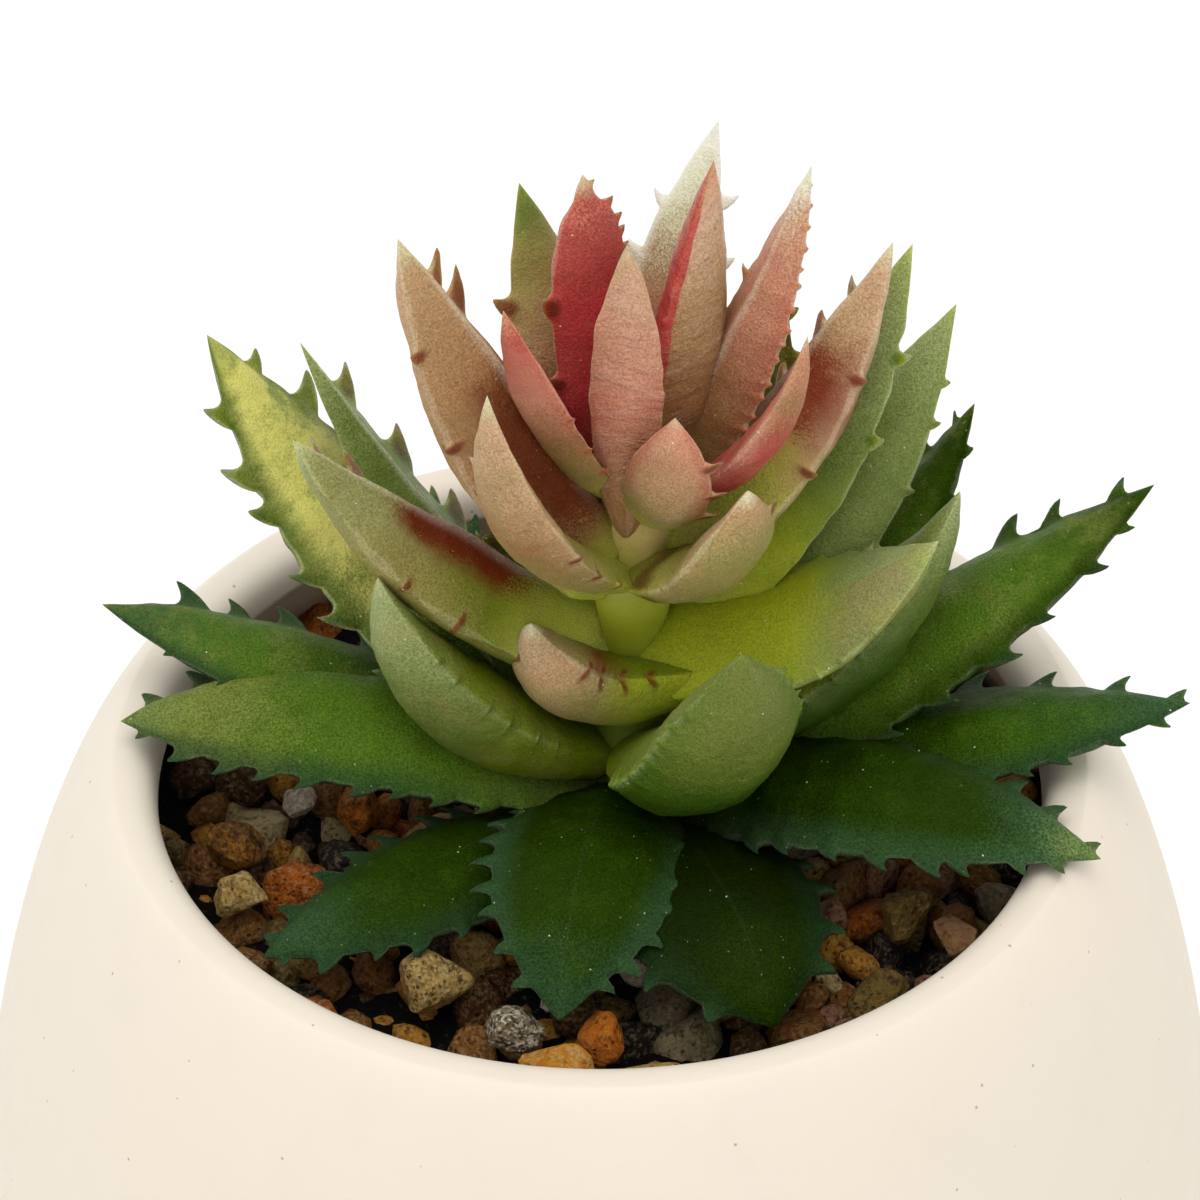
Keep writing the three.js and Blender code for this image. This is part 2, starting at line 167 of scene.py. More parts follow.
class LeafColours(PropertyGroup):
    """Colours the leaf finishes are mixed from."""
    deep_green: colour("Deep Green", "Shaded roots of the outer leaves", "142200")
    forest_green: colour("Forest Green", "Body of the outer leaves", "213800")
    leaf_green: colour("Leaf Green", "Lit faces of the outer leaves", "36540a")
    moss_green: colour("Moss Green", "Yellowish faces of the outer leaves", "52701c")
    # Bloom together with a painted sheen on the outer leaves' tips
    bloom_and_sheen_green: colour("Bloom and Sheen Green", "Bloom on the outer leaves' tips", "6c8048")
    dusty_teal: colour("Dusty Teal", "Margins and teeth of the outer leaves", "365434")
    deep_teal: colour("Deep Teal", "Thorns and margins of the darkest leaves", "233f25")
    sage: colour("Sage", "Yellowish bloom on the outer leaves", "747e38")
    fresh_green: colour("Fresh Green", "Body of the middle leaves", "647630")
    apple_green: colour("Apple Green", "Lit faces of the middle leaves", "808e4e")
    lime: colour("Lime", "Roots of the upper leaves", "6c7a0e")
    bright_lime: colour("Bright Lime", "Light glowing through the upper leaves", "a0a920")
    glow_lime: colour("Glowing Lime", "Roots of the inner leaves and the top of the stem", "b6bc48")
    pale_green: colour("Pale Green", "Tips of the green leaves", "9aa46c")
    cream_green: colour("Cream Green", "Palest tips", "dde0bc")
    yellow: colour("Yellow", "Pale patches of the marbled leaf", "d5d272")
    olive: colour("Olive", "Green turning brown", "6e682c")
    olive_tan: colour("Olive Tan", "Brownish faces of the upper leaves", "978b4e")
    tan: colour("Tan", "Body of the inner leaves", "a4784e")
    beige: colour("Beige", "Lit faces of the inner leaves", "b8946c")
    pink_beige: colour("Pink Beige", "Tips of the inner leaves", "d0aa8c")
    salmon: colour("Salmon", "Crown leaves", "cd8a72")
    coral: colour("Coral", "Redder crown leaves", "b6524a")
    crimson: colour("Crimson", "Red crown leaf", "bc3a40")
    wine: colour("Wine", "Deep red shade", "520c08")
    rust: colour("Rust", "Brown-red blush", "70240a")
    brick: colour("Brick", "Redder blush", "7c2612")
    tooth_brown: colour("Tooth Brown", "Browned teeth", "4a2c1c")
    tooth_red: colour("Tooth Red", "Reddened teeth", "6e1c14")
    ivory: colour("Ivory", "Bleached tips", "f6f2e6")


class StageSettings(PropertyGroup):
    """Floor, lights and camera."""
    floor_size: length("Floor Size", "Side of the square floor", 6000)
    floor: colour("Floor", "Pale floor", "fafaf9")
    sky: number("Sky", "Strength of the even light from all round", 0.86, min=0.0)
    top_power: number("Top Light", "Power of the softbox overhead, in watts", 3.0, min=0.0)
    front_power: number("Front Light", "Power of the softbox in front, in watts", 0.1, min=0.0)
    elevation: FloatProperty(name="Camera Elevation", description="Angle the camera looks down at",
                             default=math.radians(38.5), unit="ROTATION")
    distance: length("Camera Distance", "From the camera to what it looks at", 300)
    target_height: length("Target Height", "Height of what the camera looks at", 93.6)
    focal_length: number("Focal Length", "Lens, in millimetres on a 36 mm sensor", 123.1, min=1.0)


# ---------------------------------------------------------------------------
# The leaves
# ---------------------------------------------------------------------------

class Teeth(NamedTuple):
    """The thorns of one margin: spacing, length, half the base's width over the length, hook.

    The stain is how far a thorn's colour runs into the face below it.
    """
    spacing: float = 4.2
    size: float = 1.5
    breadth: float = 0.75
    hook: float = 0.8
    start: float = 0.16
    end: float = 0.9
    places: tuple = ()
    stain: float = 0.0


class Leaf(NamedTuple):
    """One leaf. Angles in degrees, lengths in millimetres, places along it from 0 to 1.

    Left and right are as seen from the stem. A keel is the sharpness of a face's middle ridge.
    The upper share is the part of the thickness above the margins, and the root turn is how far
    round the stem the root sits from the leaf's own direction.
    """
    direction: float
    reach: float
    root_height: float
    tip_height: float
    width: float
    bow: float
    look: str
    sway: float = 0.0
    roll: float = 0.0
    left: Teeth = Teeth()
    right: Teeth = Teeth()
    thickness: float = 0.48
    widest: float = 0.4
    taper: float = 1.7
    root_share: float = 0.62
    keel: float = 0.35
    keel_shift: float = 0.0
    back_keel: float = 0.15
    back_keel_shift: float = 0.0
    shoulder: float = 1.0
    upper_share: float = 0.45
    root_turn: float = 0.0


def placed(size, *places, breadth=0.8, hook=0.8):
    """Teeth at chosen places along a margin."""
    return Teeth(size=size, breadth=breadth, hook=hook, places=places, stain=1.0)


FINE = Teeth(spacing=2.4, size=1.35, breadth=0.5, hook=0.6, start=0.2, end=0.97)
BROAD = Teeth(spacing=4.6, size=1.8, breadth=0.7, hook=0.9, start=0.2, end=0.98)
EVEN = Teeth(spacing=3.2, size=1.45, breadth=0.65, hook=0.8, start=0.18, end=0.98)
SMALL = Teeth(spacing=4.6, size=0.7, breadth=0.8, hook=0.8, start=0.2, end=0.9)
NOTCHES = Teeth(spacing=2.8, size=0.34, breadth=0.9, hook=0.8, start=0.3, end=0.85, stain=0.5)
SERRATED = Teeth(spacing=1.5, size=0.5, breadth=0.8, hook=0.7, start=0.35, end=0.97)
NONE = Teeth(size=0.1, places=(0.5,))

# The tiers from the gravel up. The leaves at the back that are guessed come last in their tier.
LEAF_TIERS = {
    "skirt": (
        Leaf(212.5, 32, 73, 74, 11, 1.8, "dark", sway=1, left=EVEN, right=EVEN, taper=2.4),
        Leaf(292, 26.7, 73, 74.3, 15, 3, "shaded", left=EVEN, right=EVEN, widest=0.5, taper=2.8),
        Leaf(169, 40.8, 75, 87, 10, 0.5, "dusty_dark", left=SMALL, right=BROAD, taper=2.6,
             keel=0.5, keel_shift=-0.4),
        Leaf(358, 41.4, 75, 85, 11, 0.5, "sunny_dark", left=BROAD, right=EVEN, taper=2.4),
        Leaf(48, 31, 75, 86, 10, 1, "dark", left=BROAD, right=BROAD, taper=2.4),
        Leaf(90, 34, 75, 84, 11, 1, "dark", left=BROAD, right=BROAD, taper=2.4),
        Leaf(130, 31, 75, 86, 10, 1, "dark", left=BROAD, right=BROAD, taper=2.4),
    ),
    "lower": (
        Leaf(258, 25.6, 76.5, 75.2, 14.6, 2.8, "front", sway=-0.5, left=FINE, right=FINE, taper=2),
        Leaf(180, 38.3, 76, 82, 12.4, 2, "sunny", left=EVEN, right=BROAD, taper=2.8,
             keel=0.6, keel_shift=-0.5, upper_share=0.55),
        Leaf(338, 36.6, 76, 80.5, 12.6, 3, "pale_tipped", sway=-0.8, left=EVEN, right=EVEN, taper=2.2,
             keel_shift=0.4, upper_share=0.55),
        Leaf(12, 39.5, 76, 98, 12, -1.5, "dusty", left=BROAD, right=BROAD, taper=2),
        Leaf(155, 34.7, 79, 107, 12, -3, "marbled", roll=-10, left=BROAD, right=BROAD, taper=2.2),
        Leaf(22, 27.1, 78, 104, 10, -3, "dusty", left=EVEN, right=EVEN, taper=2),
        Leaf(102, 20.2, 79, 112, 9, -3, "fresh", left=EVEN, right=EVEN),
    ),
    "middle": (
        Leaf(148.5, 28.9, 80, 106, 7.6, -2, "fresh", roll=12, left=NONE, upper_share=0.6,
             right=placed(2.6, 0.88, 0.72, 0.56, 0.4, 0.26), keel=0.85, thickness=0.5),
        Leaf(189, 18.6, 80, 98, 12, -3.2, "cup", roll=30, left=NOTCHES, right=SMALL,
             thickness=0.58, keel=0.1, back_keel=0),
        Leaf(296, 17.1, 81.5, 101, 12.5, -3.2, "cup_front", left=SERRATED, right=SERRATED,
             taper=3.0, thickness=0.6, keel=0.1, back_keel=0),
        Leaf(5, 23.7, 81, 102, 12, -3.6, "cup_dark", roll=-20, left=SMALL, right=NOTCHES,
             thickness=0.58, keel=0.1, back_keel=0),
        Leaf(23, 25.3, 84, 113, 10, -2, "sunlit", roll=25, left=SMALL, right=SMALL, keel=0.2),
        Leaf(54, 18.5, 80, 112, 9, -3, "browned", left=EVEN, right=EVEN),
        Leaf(125, 15, 80, 110, 9, -3, "browned", left=EVEN, right=EVEN),
    ),
    "upper": (
        Leaf(176.5, 24.4, 89, 107, 10, -2.3, "blushed_lime", roll=6, thickness=0.72,
             left=placed(0.6, 0.62, 0.45, 0.3), right=placed(2.0, 0.9, 0.76, 0.62, 0.46), keel=0.8,
             upper_share=0.6, root_share=0.95),
        Leaf(205, 8.2, 88.6, 94.2, 9.6, -2.2, "short_tan", roll=46, root_share=0.85, root_turn=70,
             left=placed(0.7, 0.72, 0.55, 0.4, 0.25), right=NONE, back_keel=0, taper=2.4,
             thickness=0.6),
        Leaf(350, 22, 90.5, 102, 11.5, -2.4, "glowing", roll=14, left=SMALL, right=NOTCHES,
             root_share=0.95),
        Leaf(20, 20.9, 91, 120, 8.6, -2, "lime_green", roll=30, left=SMALL,
             right=placed(1.1, 0.8, 0.64), keel=0.2, root_share=0.75),
        Leaf(72, 15, 87, 114, 9, -2, "browned", left=SMALL, right=SMALL),
        Leaf(112, 15, 87, 114, 9, -2, "lime_green", left=SMALL, right=SMALL),
    ),
    "inner": (
        Leaf(190, 16.3, 98.5, 127, 10, -1.5, "blushed_tan", roll=-28, keel=0.85, thickness=0.78,
             left=placed(1.0, 0.78, 0.58, 0.36), right=placed(2.0, 0.85, 0.74, 0.5),
             root_share=0.8, upper_share=0.62),
        Leaf(125, 14.2, 100, 122.2, 8.5, 0, "green_tan", right=placed(0.5, 0.5),
             left=placed(1.5, 0.72, 0.52), keel=0.15, root_share=0.8),
        Leaf(61, 12.2, 100, 128, 8.0, 0, "bleached", sway=1.2,
             left=placed(1.3, 0.8, 0.66, 0.5, 0.38, breadth=0.6),
             right=placed(1.3, 0.84, 0.7, 0.58, 0.46, breadth=0.6), root_share=0.8),
        Leaf(9, 18.1, 97.5, 123, 8.4, -2, "pink_lime", roll=10, keel=0.85, thickness=0.78,
             left=placed(1.3, 0.82, 0.7, 0.55), right=placed(0.9, 0.72, 0.5, 0.34),
             root_share=0.85, upper_share=0.62),
        Leaf(232, 16.1, 98.5, 121.1, 7.4, -3, "beige", left=placed(0.55, 0.5, 0.36, 0.25),
             right=placed(0.6, 0.75, 0.6), back_keel=0.0, shoulder=0.92, root_share=0.8),
        Leaf(310, 12.1, 98.5, 110.6, 8.6, -2.0, "pale_tan", left=placed(0.6, 0.85, 0.72),
             right=NONE, back_keel=0.0, shoulder=0.9, taper=2.4, root_share=0.8),
        Leaf(102, 9, 97, 119, 7.5, -1, "green_tan", left=SMALL, right=SMALL),
    ),
    "crown": (
        Leaf(130, 5.6, 104, 127.6, 6.8, 0, "crimson", taper=4.0, shoulder=0.87, root_share=0.8,
             left=placed(1.2, 0.68, 0.46, 0.26, breadth=1.0), right=SERRATED, keel=0.1),
        Leaf(218, 11.3, 106.5, 124, 4.8, -0.9, "coral", roll=15, sway=0.4, taper=2.2,
             left=placed(0.5, 0.58, 0.42, 0.28, 0.15), right=NONE, back_keel=0, root_share=0.8),
        Leaf(261, 3.3, 106.5, 127, 5.2, 0, "salmon", left=NONE, right=NONE, keel=0.2,
             back_keel=0.75, back_keel_shift=-0.35, root_share=0.75, taper=2.0),
        Leaf(23, 5.8, 104, 130, 8.4, 0, "two_tone", roll=-17, left=NONE, thickness=0.6, root_turn=30,
             right=placed(0.6, 0.62), keel=0.3, back_keel=0.2, root_share=0.7),
        Leaf(8, 12.1, 101, 130, 6.8, -1.2, "pink_ivory", roll=40, left=placed(0.9, 0.68),
             right=SERRATED, keel=0.85, root_share=0.7, upper_share=0.6, thickness=0.55,
             root_turn=50),
        Leaf(290, 8.0, 104.8, 115.5, 6.2, -1.4, "short_salmon", roll=-40, right=NONE,
             left=placed(1.2, 0.8, 0.64, 0.5, breadth=0.35, hook=1.0), back_keel=0,
             taper=2.4, root_share=0.85),
        Leaf(333, 13.1, 104.5, 121.2, 5.4, -2, "coral_tan", roll=-10, left=placed(0.6, 0.5),
             right=NONE, back_keel=0.1, root_share=0.8),
    ),
}


class Blush(NamedTuple):
    """A sprayed patch: its colour, the stretch it covers, the half it lies on and how dense it is.

    It reaches from the leaf's middle ridge out to a share of the half width, with a soft border.
    The lap is how far a one-sided patch reaches over the middle, or stops short of it below zero.
    """
    shade: str
    start: float
    end: float
    side: float = 0.0
    strength: float = 0.8
    ridge: float = 1.0
    softness: float = 0.1
    lap: float = 0.0


class Look(NamedTuple):
    """A leaf's finish. The inner and outer faces' colours stand at places from root (0) to tip (1).

    The edge's colour spreads in from the margins; the thin line is a painted highlight on the outline.
    The nib is the paleness of the very tip, and the glow a factor on the light under the skin.
    """
    inner: tuple
    outer: tuple
    edge: str
    edge_strength: float
    tooth: str
    blush: Blush = None
    mottle: str = "moss_green"
    mottle_strength: float = 0.25
    wrinkles: float = 0.0
    grain: float = 0.65
    gloss: float = 0.3
    thin_line: float = 0.3
    nib: float = 0.0
    glow: float = 1.0


# What the matt outer leaves share
MATT = {"grain": 1.0, "gloss": 0.07, "thin_line": 0.08, "glow": 0.3}

LOOKS = {
    "dark": Look(
        inner=((0, "leaf_green"), (0.3, "forest_green"), (0.65, "forest_green"),
               (0.95, "dusty_teal")),
        outer=((0, "deep_green"), (1, "forest_green")),
        edge="deep_teal", edge_strength=0.6, tooth="deep_teal", mottle="leaf_green", **MATT),
    # The tip's bloom and sheen green paints a sheen on the tip as well as bloom
    "pale_tipped": Look(
        inner=((0, "deep_green"), (0.3, "deep_green"), (0.5, "forest_green"),
               (0.7, "forest_green"), (0.85, "dusty_teal"), (1, "bloom_and_sheen_green")),
        outer=((0, "deep_green"), (1, "forest_green")),
        edge="dusty_teal", edge_strength=0.6, tooth="deep_teal", mottle="leaf_green", **MATT),
    "front": Look(
        inner=((0, "deep_green"), (0.5, "forest_green"), (0.75, "forest_green"), (1, "dusty_teal")),
        outer=((0, "deep_green"), (1, "forest_green")),
        edge="dusty_teal", edge_strength=0.7, tooth="deep_teal", mottle="leaf_green", **MATT),
    "shaded": Look(
        inner=((0, "deep_green"), (0.7, "deep_green"), (1, "forest_green")),
        outer=((0, "deep_green"), (1, "forest_green")),
        edge="deep_teal", edge_strength=0.5, tooth="deep_teal", mottle="deep_green", **MATT),
    "dusty_dark": Look(
        inner=((0, "deep_green"), (0.3, "forest_green"), (0.7, "moss_green"), (1, "dusty_teal")),
        outer=((0, "deep_green"), (1, "leaf_green")),
        edge="deep_teal", edge_strength=0.8, tooth="deep_teal", mottle="sage",
        mottle_strength=0.55, **MATT),
    "dusty": Look(
        inner=((0, "moss_green"), (0.35, "moss_green"), (0.7, "moss_green"), (1, "forest_green")),
        outer=((0, "forest_green"), (1, "leaf_green")),
        edge="forest_green", edge_strength=0.8, tooth="deep_teal", mottle="sage",
        mottle_strength=0.5, **MATT),
    "sunny_dark": Look(
        inner=((0, "deep_green"), (0.4, "forest_green"), (0.7, "leaf_green"), (1, "dusty_teal")),
        outer=((0, "deep_green"), (1, "leaf_green")),
        edge="deep_teal", edge_strength=0.7, tooth="deep_teal", mottle="moss_green", **MATT),
    # The tip's bloom and sheen green paints a highlight on the tip as well as bloom
    "sunny": Look(
        inner=((0, "fresh_green"), (0.3, "moss_green"), (0.6, "moss_green"), (0.85, "sage"),
               (1, "bloom_and_sheen_green")),
        outer=((0, "deep_green"), (1, "leaf_green")),
        edge="deep_teal", edge_strength=0.75, tooth="deep_teal", mottle="leaf_green", **MATT),
    "marbled": Look(
        inner=((0, "forest_green"), (0.3, "moss_green"), (0.5, "yellow"), (0.9, "yellow"),
               (1, "apple_green")),
        outer=((0, "forest_green"), (1, "moss_green")),
        edge="leaf_green", edge_strength=0.85, tooth="dusty_teal",
        mottle="moss_green", mottle_strength=0.7),
    "fresh": Look(
        inner=((0, "moss_green"), (0.4, "fresh_green"), (0.75, "fresh_green"), (1, "pale_green")),
        outer=((0, "fresh_green"), (1, "apple_green")),
        edge="apple_green", edge_strength=0.4, tooth="tooth_brown", mottle="apple_green"),
    "sunlit": Look(
        inner=((0, "glow_lime"), (0.3, "apple_green"), (0.7, "apple_green"), (1, "pale_green")),
        outer=((0, "fresh_green"), (1, "apple_green")),
        edge="fresh_green", edge_strength=0.3, tooth="leaf_green", mottle="fresh_green"),
    "browned": Look(
        inner=((0, "lime"), (0.4, "fresh_green"), (1, "olive")),
        outer=((0, "fresh_green"), (0.5, "olive"), (1, "tooth_brown")),
        edge="tooth_brown", edge_strength=0.6, tooth="tooth_brown", mottle="olive"),
    "cup": Look(
        inner=((0, "lime"), (0.6, "lime"), (1, "apple_green")),
        outer=((0, "lime"), (0.3, "lime"), (0.5, "fresh_green"), (0.68, "apple_green"),
               (0.82, "pale_green")),
        edge="apple_green", edge_strength=0.2, tooth="forest_green", mottle="olive_tan",
        mottle_strength=0.35, nib=0.2, thin_line=0.1, glow=1.5),
    "cup_dark": Look(
        inner=((0, "lime"), (0.6, "lime"), (1, "apple_green")),
        outer=((0, "lime"), (0.2, "leaf_green"), (0.5, "leaf_green"), (0.75, "fresh_green"),
               (1, "pale_green")),
        edge="pale_green", edge_strength=0.15, tooth="forest_green", mottle="leaf_green", nib=0.2,
        thin_line=0.1),
    "cup_front": Look(
        inner=((0, "lime"), (1, "apple_green")),
        outer=((0, "leaf_green"), (0.45, "leaf_green"), (0.7, "moss_green"), (0.9, "fresh_green")),
        edge="moss_green", edge_strength=0.3, tooth="moss_green",
        blush=Blush("tan", 0.6, 1.0, 0, 0.12), mottle="moss_green", thin_line=0.1),
    "blushed_lime": Look(
        inner=((0, "glow_lime"), (0.3, "lime"), (0.55, "olive_tan"), (1, "pale_green")),
        outer=((0, "lime"), (0.6, "olive_tan"), (1, "pale_green")),
        edge="olive_tan", edge_strength=0.2, tooth="tooth_red",
        blush=Blush("rust", 0.2, 0.72, -1, 1.0, 1.5, 0.3, 0.48), mottle="olive_tan", nib=0.3,
        thin_line=0.2, glow=1.5),
    "short_tan": Look(
        inner=((0, "lime"), (0.4, "rust"), (0.7, "olive_tan"), (1, "beige")),
        outer=((0, "bright_lime"), (0.3, "olive_tan"), (0.7, "beige"), (1, "pink_beige")),
        edge="beige", edge_strength=0.3, tooth="tooth_red", mottle="apple_green", nib=0.6),
    "glowing": Look(
        inner=((0, "bright_lime"), (0.4, "bright_lime"), (0.6, "apple_green"),
               (0.85, "pale_green")),
        outer=((0, "glow_lime"), (1, "apple_green")),
        edge="apple_green", edge_strength=0.25, tooth="leaf_green",
        blush=Blush("tan", 0.6, 0.95, -1, 0.3), mottle="bright_lime", nib=0.2, thin_line=0.2,
        glow=1.5),
    "lime_green": Look(
        inner=((0, "glow_lime"), (0.25, "bright_lime"), (0.5, "fresh_green"), (1, "pale_green")),
        outer=((0, "bright_lime"), (0.4, "bright_lime"), (1, "pale_green")),
        edge="apple_green", edge_strength=0.25, tooth="moss_green", mottle="moss_green", glow=1.5),
    "blushed_tan": Look(
        inner=((0, "glow_lime"), (0.12, "tan"), (0.6, "tan"), (0.95, "beige")),
        outer=((0, "olive_tan"), (0.5, "tan"), (1, "pink_beige")),
        edge="beige", edge_strength=0.4, tooth="tooth_red",
        blush=Blush("rust", 0.14, 0.62, 0, 0.95, 0.62, 0.25), mottle="beige", nib=0.5),
    "green_tan": Look(
        inner=((0, "olive_tan"), (0.35, "tan"), (0.55, "beige"), (0.75, "olive_tan"),
               (0.95, "fresh_green")),
        outer=((0, "olive_tan"), (1, "pale_green")),
        edge="olive_tan", edge_strength=0.3, tooth="tooth_red", mottle="tan"),
    "bleached": Look(
        inner=((0, "tan"), (0.45, "salmon"), (0.6, "beige"), (0.75, "cream_green"), (0.9, "ivory")),
        outer=((0, "tan"), (0.6, "beige"), (0.8, "cream_green"), (0.95, "ivory")),
        edge="ivory", edge_strength=0.75, tooth="ivory", mottle="pale_green"),
    "pink_lime": Look(
        inner=((0, "glow_lime"), (0.32, "glow_lime"), (0.48, "tan"), (0.7, "beige"),
               (1, "pink_beige")),
        outer=((0, "glow_lime"), (0.3, "olive_tan"), (1, "pink_beige")),
        edge="pink_beige", edge_strength=0.3, tooth="tooth_red",
        blush=Blush("brick", 0.47, 0.7, 0, 0.95), mottle="beige", nib=0.5),
    "beige": Look(
        inner=((0, "glow_lime"), (0.3, "olive_tan"), (1, "beige")),
        outer=((0, "glow_lime"), (0.14, "olive_tan"), (0.5, "tan"), (0.7, "beige"),
               (0.95, "pink_beige")),
        edge="pink_beige", edge_strength=0.3, tooth="tooth_red", mottle="olive_tan",
        mottle_strength=0.35, nib=0.6),
    "pale_tan": Look(
        inner=((0, "glow_lime"), (0.5, "olive_tan"), (1, "pink_beige")),
        outer=((0, "glow_lime"), (0.3, "olive_tan"), (0.7, "olive_tan"), (0.9, "beige"),
               (1, "pink_beige")),
        edge="beige", edge_strength=0.3, tooth="tooth_red",
        blush=Blush("wine", 0.0, 0.22, 0, 0.8), mottle="pale_green", nib=0.6),
    "crimson": Look(
        inner=((0, "wine"), (0.3, "crimson"), (0.6, "crimson"), (0.85, "coral"), (1, "salmon")),
        outer=((0, "wine"), (0.5, "crimson"), (1, "salmon")),
        edge="coral", edge_strength=0.4, tooth="wine", mottle="coral", mottle_strength=0.4, nib=0.5),
    "coral": Look(
        inner=((0, "glow_lime"), (0.12, "rust"), (0.4, "coral"), (1, "coral")),
        outer=((0, "glow_lime"), (0.12, "olive_tan"), (0.4, "tan"), (0.65, "salmon"),
               (0.85, "coral"), (1, "salmon")),
        edge="coral", edge_strength=0.4, tooth="crimson", mottle="salmon", nib=0.0),
    "salmon": Look(
        inner=((0, "tan"), (0.4, "salmon"), (1, "pink_beige")),
        outer=((0, "glow_lime"), (0.1, "coral"), (0.4, "salmon"), (0.75, "salmon"),
               (1, "pink_beige")),
        edge="salmon", edge_strength=0.3, tooth="coral", mottle="pink_beige", wrinkles=0.8,
        nib=0.35),
    "two_tone": Look(
        inner=((0, "crimson"), (0.6, "crimson"), (0.85, "coral"), (1, "salmon")),
        outer=((0, "olive_tan"), (0.3, "tan"), (0.6, "beige"), (0.85, "pink_beige"), (1, "salmon")),
        edge="beige", edge_strength=0.1, tooth="crimson",
        blush=Blush("crimson", -0.5, 0.92, -1, 0.95, 1.5, 0.025, -0.92),
        mottle="beige", mottle_strength=0.15, wrinkles=0.6, thin_line=0.0),
    "pink_ivory": Look(
        inner=((0, "olive_tan"), (0.35, "tan"), (0.7, "salmon"), (0.82, "pink_beige"), (0.95, "ivory")),
        outer=((0, "tan"), (0.5, "beige"), (1, "ivory")),
        edge="coral", edge_strength=0.3, tooth="coral", mottle="beige", nib=0.9),
    "short_salmon": Look(
        inner=((0, "glow_lime"), (0.4, "tan"), (1, "beige")),
        outer=((0, "glow_lime"), (0.2, "olive_tan"), (0.5, "beige"), (1, "salmon")),
        edge="coral", edge_strength=0.45, tooth="wine", mottle="pink_beige", nib=0.3),
    "coral_tan": Look(
        inner=((0, "wine"), (0.4, "coral"), (1, "salmon")),
        outer=((0, "wine"), (0.25, "crimson"), (0.5, "coral"), (0.75, "tan"), (1, "salmon")),
        edge="pink_beige", edge_strength=0.35, tooth="crimson", mottle="salmon", nib=0.2),
}


# ---------------------------------------------------------------------------
# The large stones, and the colours and shapes of the small ones
# ---------------------------------------------------------------------------

class Stone(NamedTuple):
    """A large stone: middle, length, width and height in millimetres, turn in degrees."""
    x: float
    y: float
    z: float
    length: float
    width: float
    height: float
    turn: float
    shades: tuple
    speckle: float = 0.3


LARGE_STONES = {
    "stone_granite_front": Stone(-6.2, -23.6, 73, 4.6, 4, 3.6, 10, ("grey", "dark", "white"), 0.9),
    "stone_brown_front": Stone(-12.2, -18.4, 72.8, 5.6, 4.6, 4.4, 35, ("tan", "dark", "beige"), 0.5),
    "stone_ochre_front": Stone(-3.2, -27.6, 73, 5.6, 3.6, 3.6, 5, ("ochre", "orange", "beige"), 0.5),
    "stone_orange_front": Stone(0.2, -24.6, 72.8, 4.2, 3.8, 3.8, 70, ("orange", "dark_brown", "ochre")),
    "stone_tan_front": Stone(3.6, -28.2, 72.8, 4.6, 2.6, 2.6, 15, ("tan", "brown", "beige"), 0.4),
    "stone_beige_left": Stone(-27, -8.6, 72.2, 4.6, 3.8, 3.6, 160, ("tan", "olive", "beige"), 0.7),
    "stone_dark_left": Stone(-27.6, -2.6, 72, 4.6, 4, 3.8, 20, ("brown", "dark", "ochre"), 0.5),
    "stone_white_left": Stone(-23.2, 2.6, 71.8, 3.2, 2.8, 2.8, 40, ("white", "grey", "pink"), 0.6),
    "stone_amber_left": Stone(-18.6, 1.4, 71.8, 4.4, 3.8, 3.6, 80, ("orange", "dark", "ochre"), 0.5),
    "stone_egg_right": Stone(22.4, -11.2, 73, 4.6, 4, 4.2, 30, ("olive", "dark_brown", "tan")),
    "stone_pink_right": Stone(26.4, -13.4, 72.4, 4.2, 3.2, 3.2, 130, ("pink", "brown", "tan"), 0.4),
    "stone_olive_right": Stone(20.2, -20.2, 72.8, 5, 3.6, 3.6, 50, ("olive", "dark", "brown")),
}

GRAVEL_SHADES = ("brown", "dark_brown", "ochre", "orange", "tan", "beige", "grey", "dark", "pink",
                 "olive", "plum", "white")
GRAVEL_SHARES = (0.2, 0.15, 0.09, 0.09, 0.12, 0.04, 0.05, 0.11, 0.04, 0.06, 0.04, 0.01)
ROCK_SHAPES = 20


# ---------------------------------------------------------------------------
# Mesh helpers
# ---------------------------------------------------------------------------

SAME_POINT = 0.0001 * MM
RIPPLE_WAVES = 7


def add_object(name, points, faces, material, attributes=None, smooth=True):
    """A mesh object at the origin, with float attributes on its points. Points are in metres."""
    mesh = bpy.data.meshes.new(name)
    mesh.from_pydata(np.asarray(points).tolist(), [], list(faces))
    mesh.update()
    for key, values in (attributes or {}).items():
        layer = mesh.attributes.new(key, "FLOAT", "POINT")
        layer.data.foreach_set("value", np.asarray(values, dtype=np.float32))
    mesh.polygons.foreach_set("use_smooth", [smooth] * len(mesh.polygons))
    if material is not None:
        mesh.materials.append(material)
    piece = bpy.data.objects.new(name, mesh)
    bpy.context.scene.collection.objects.link(piece)
    return piece


def read_points(mesh):
    """The mesh's points as rows of x, y and z in metres."""
    points = np.zeros(len(mesh.vertices) * 3)
    mesh.vertices.foreach_get("co", points)
    return points.reshape(-1, 3)


def move_points(mesh, points):
    mesh.vertices.foreach_set("co", points.ravel())
    mesh.update()


def face_outwards(mesh):
    """Merges doubles and turns every face of a closed shell outwards."""
    shell = bmesh.new()
    shell.from_mesh(mesh)
    bmesh.ops.remove_doubles(shell, verts=shell.verts, dist=SAME_POINT)
    bmesh.ops.recalc_face_normals(shell, faces=shell.faces)
    shell.to_mesh(mesh)
    shell.free()


def hand_over(piece, nodes):
    """Sets a finished piece in the CAD nodes' stead."""
    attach(piece, "root")
    for node in nodes:
        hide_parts(node)


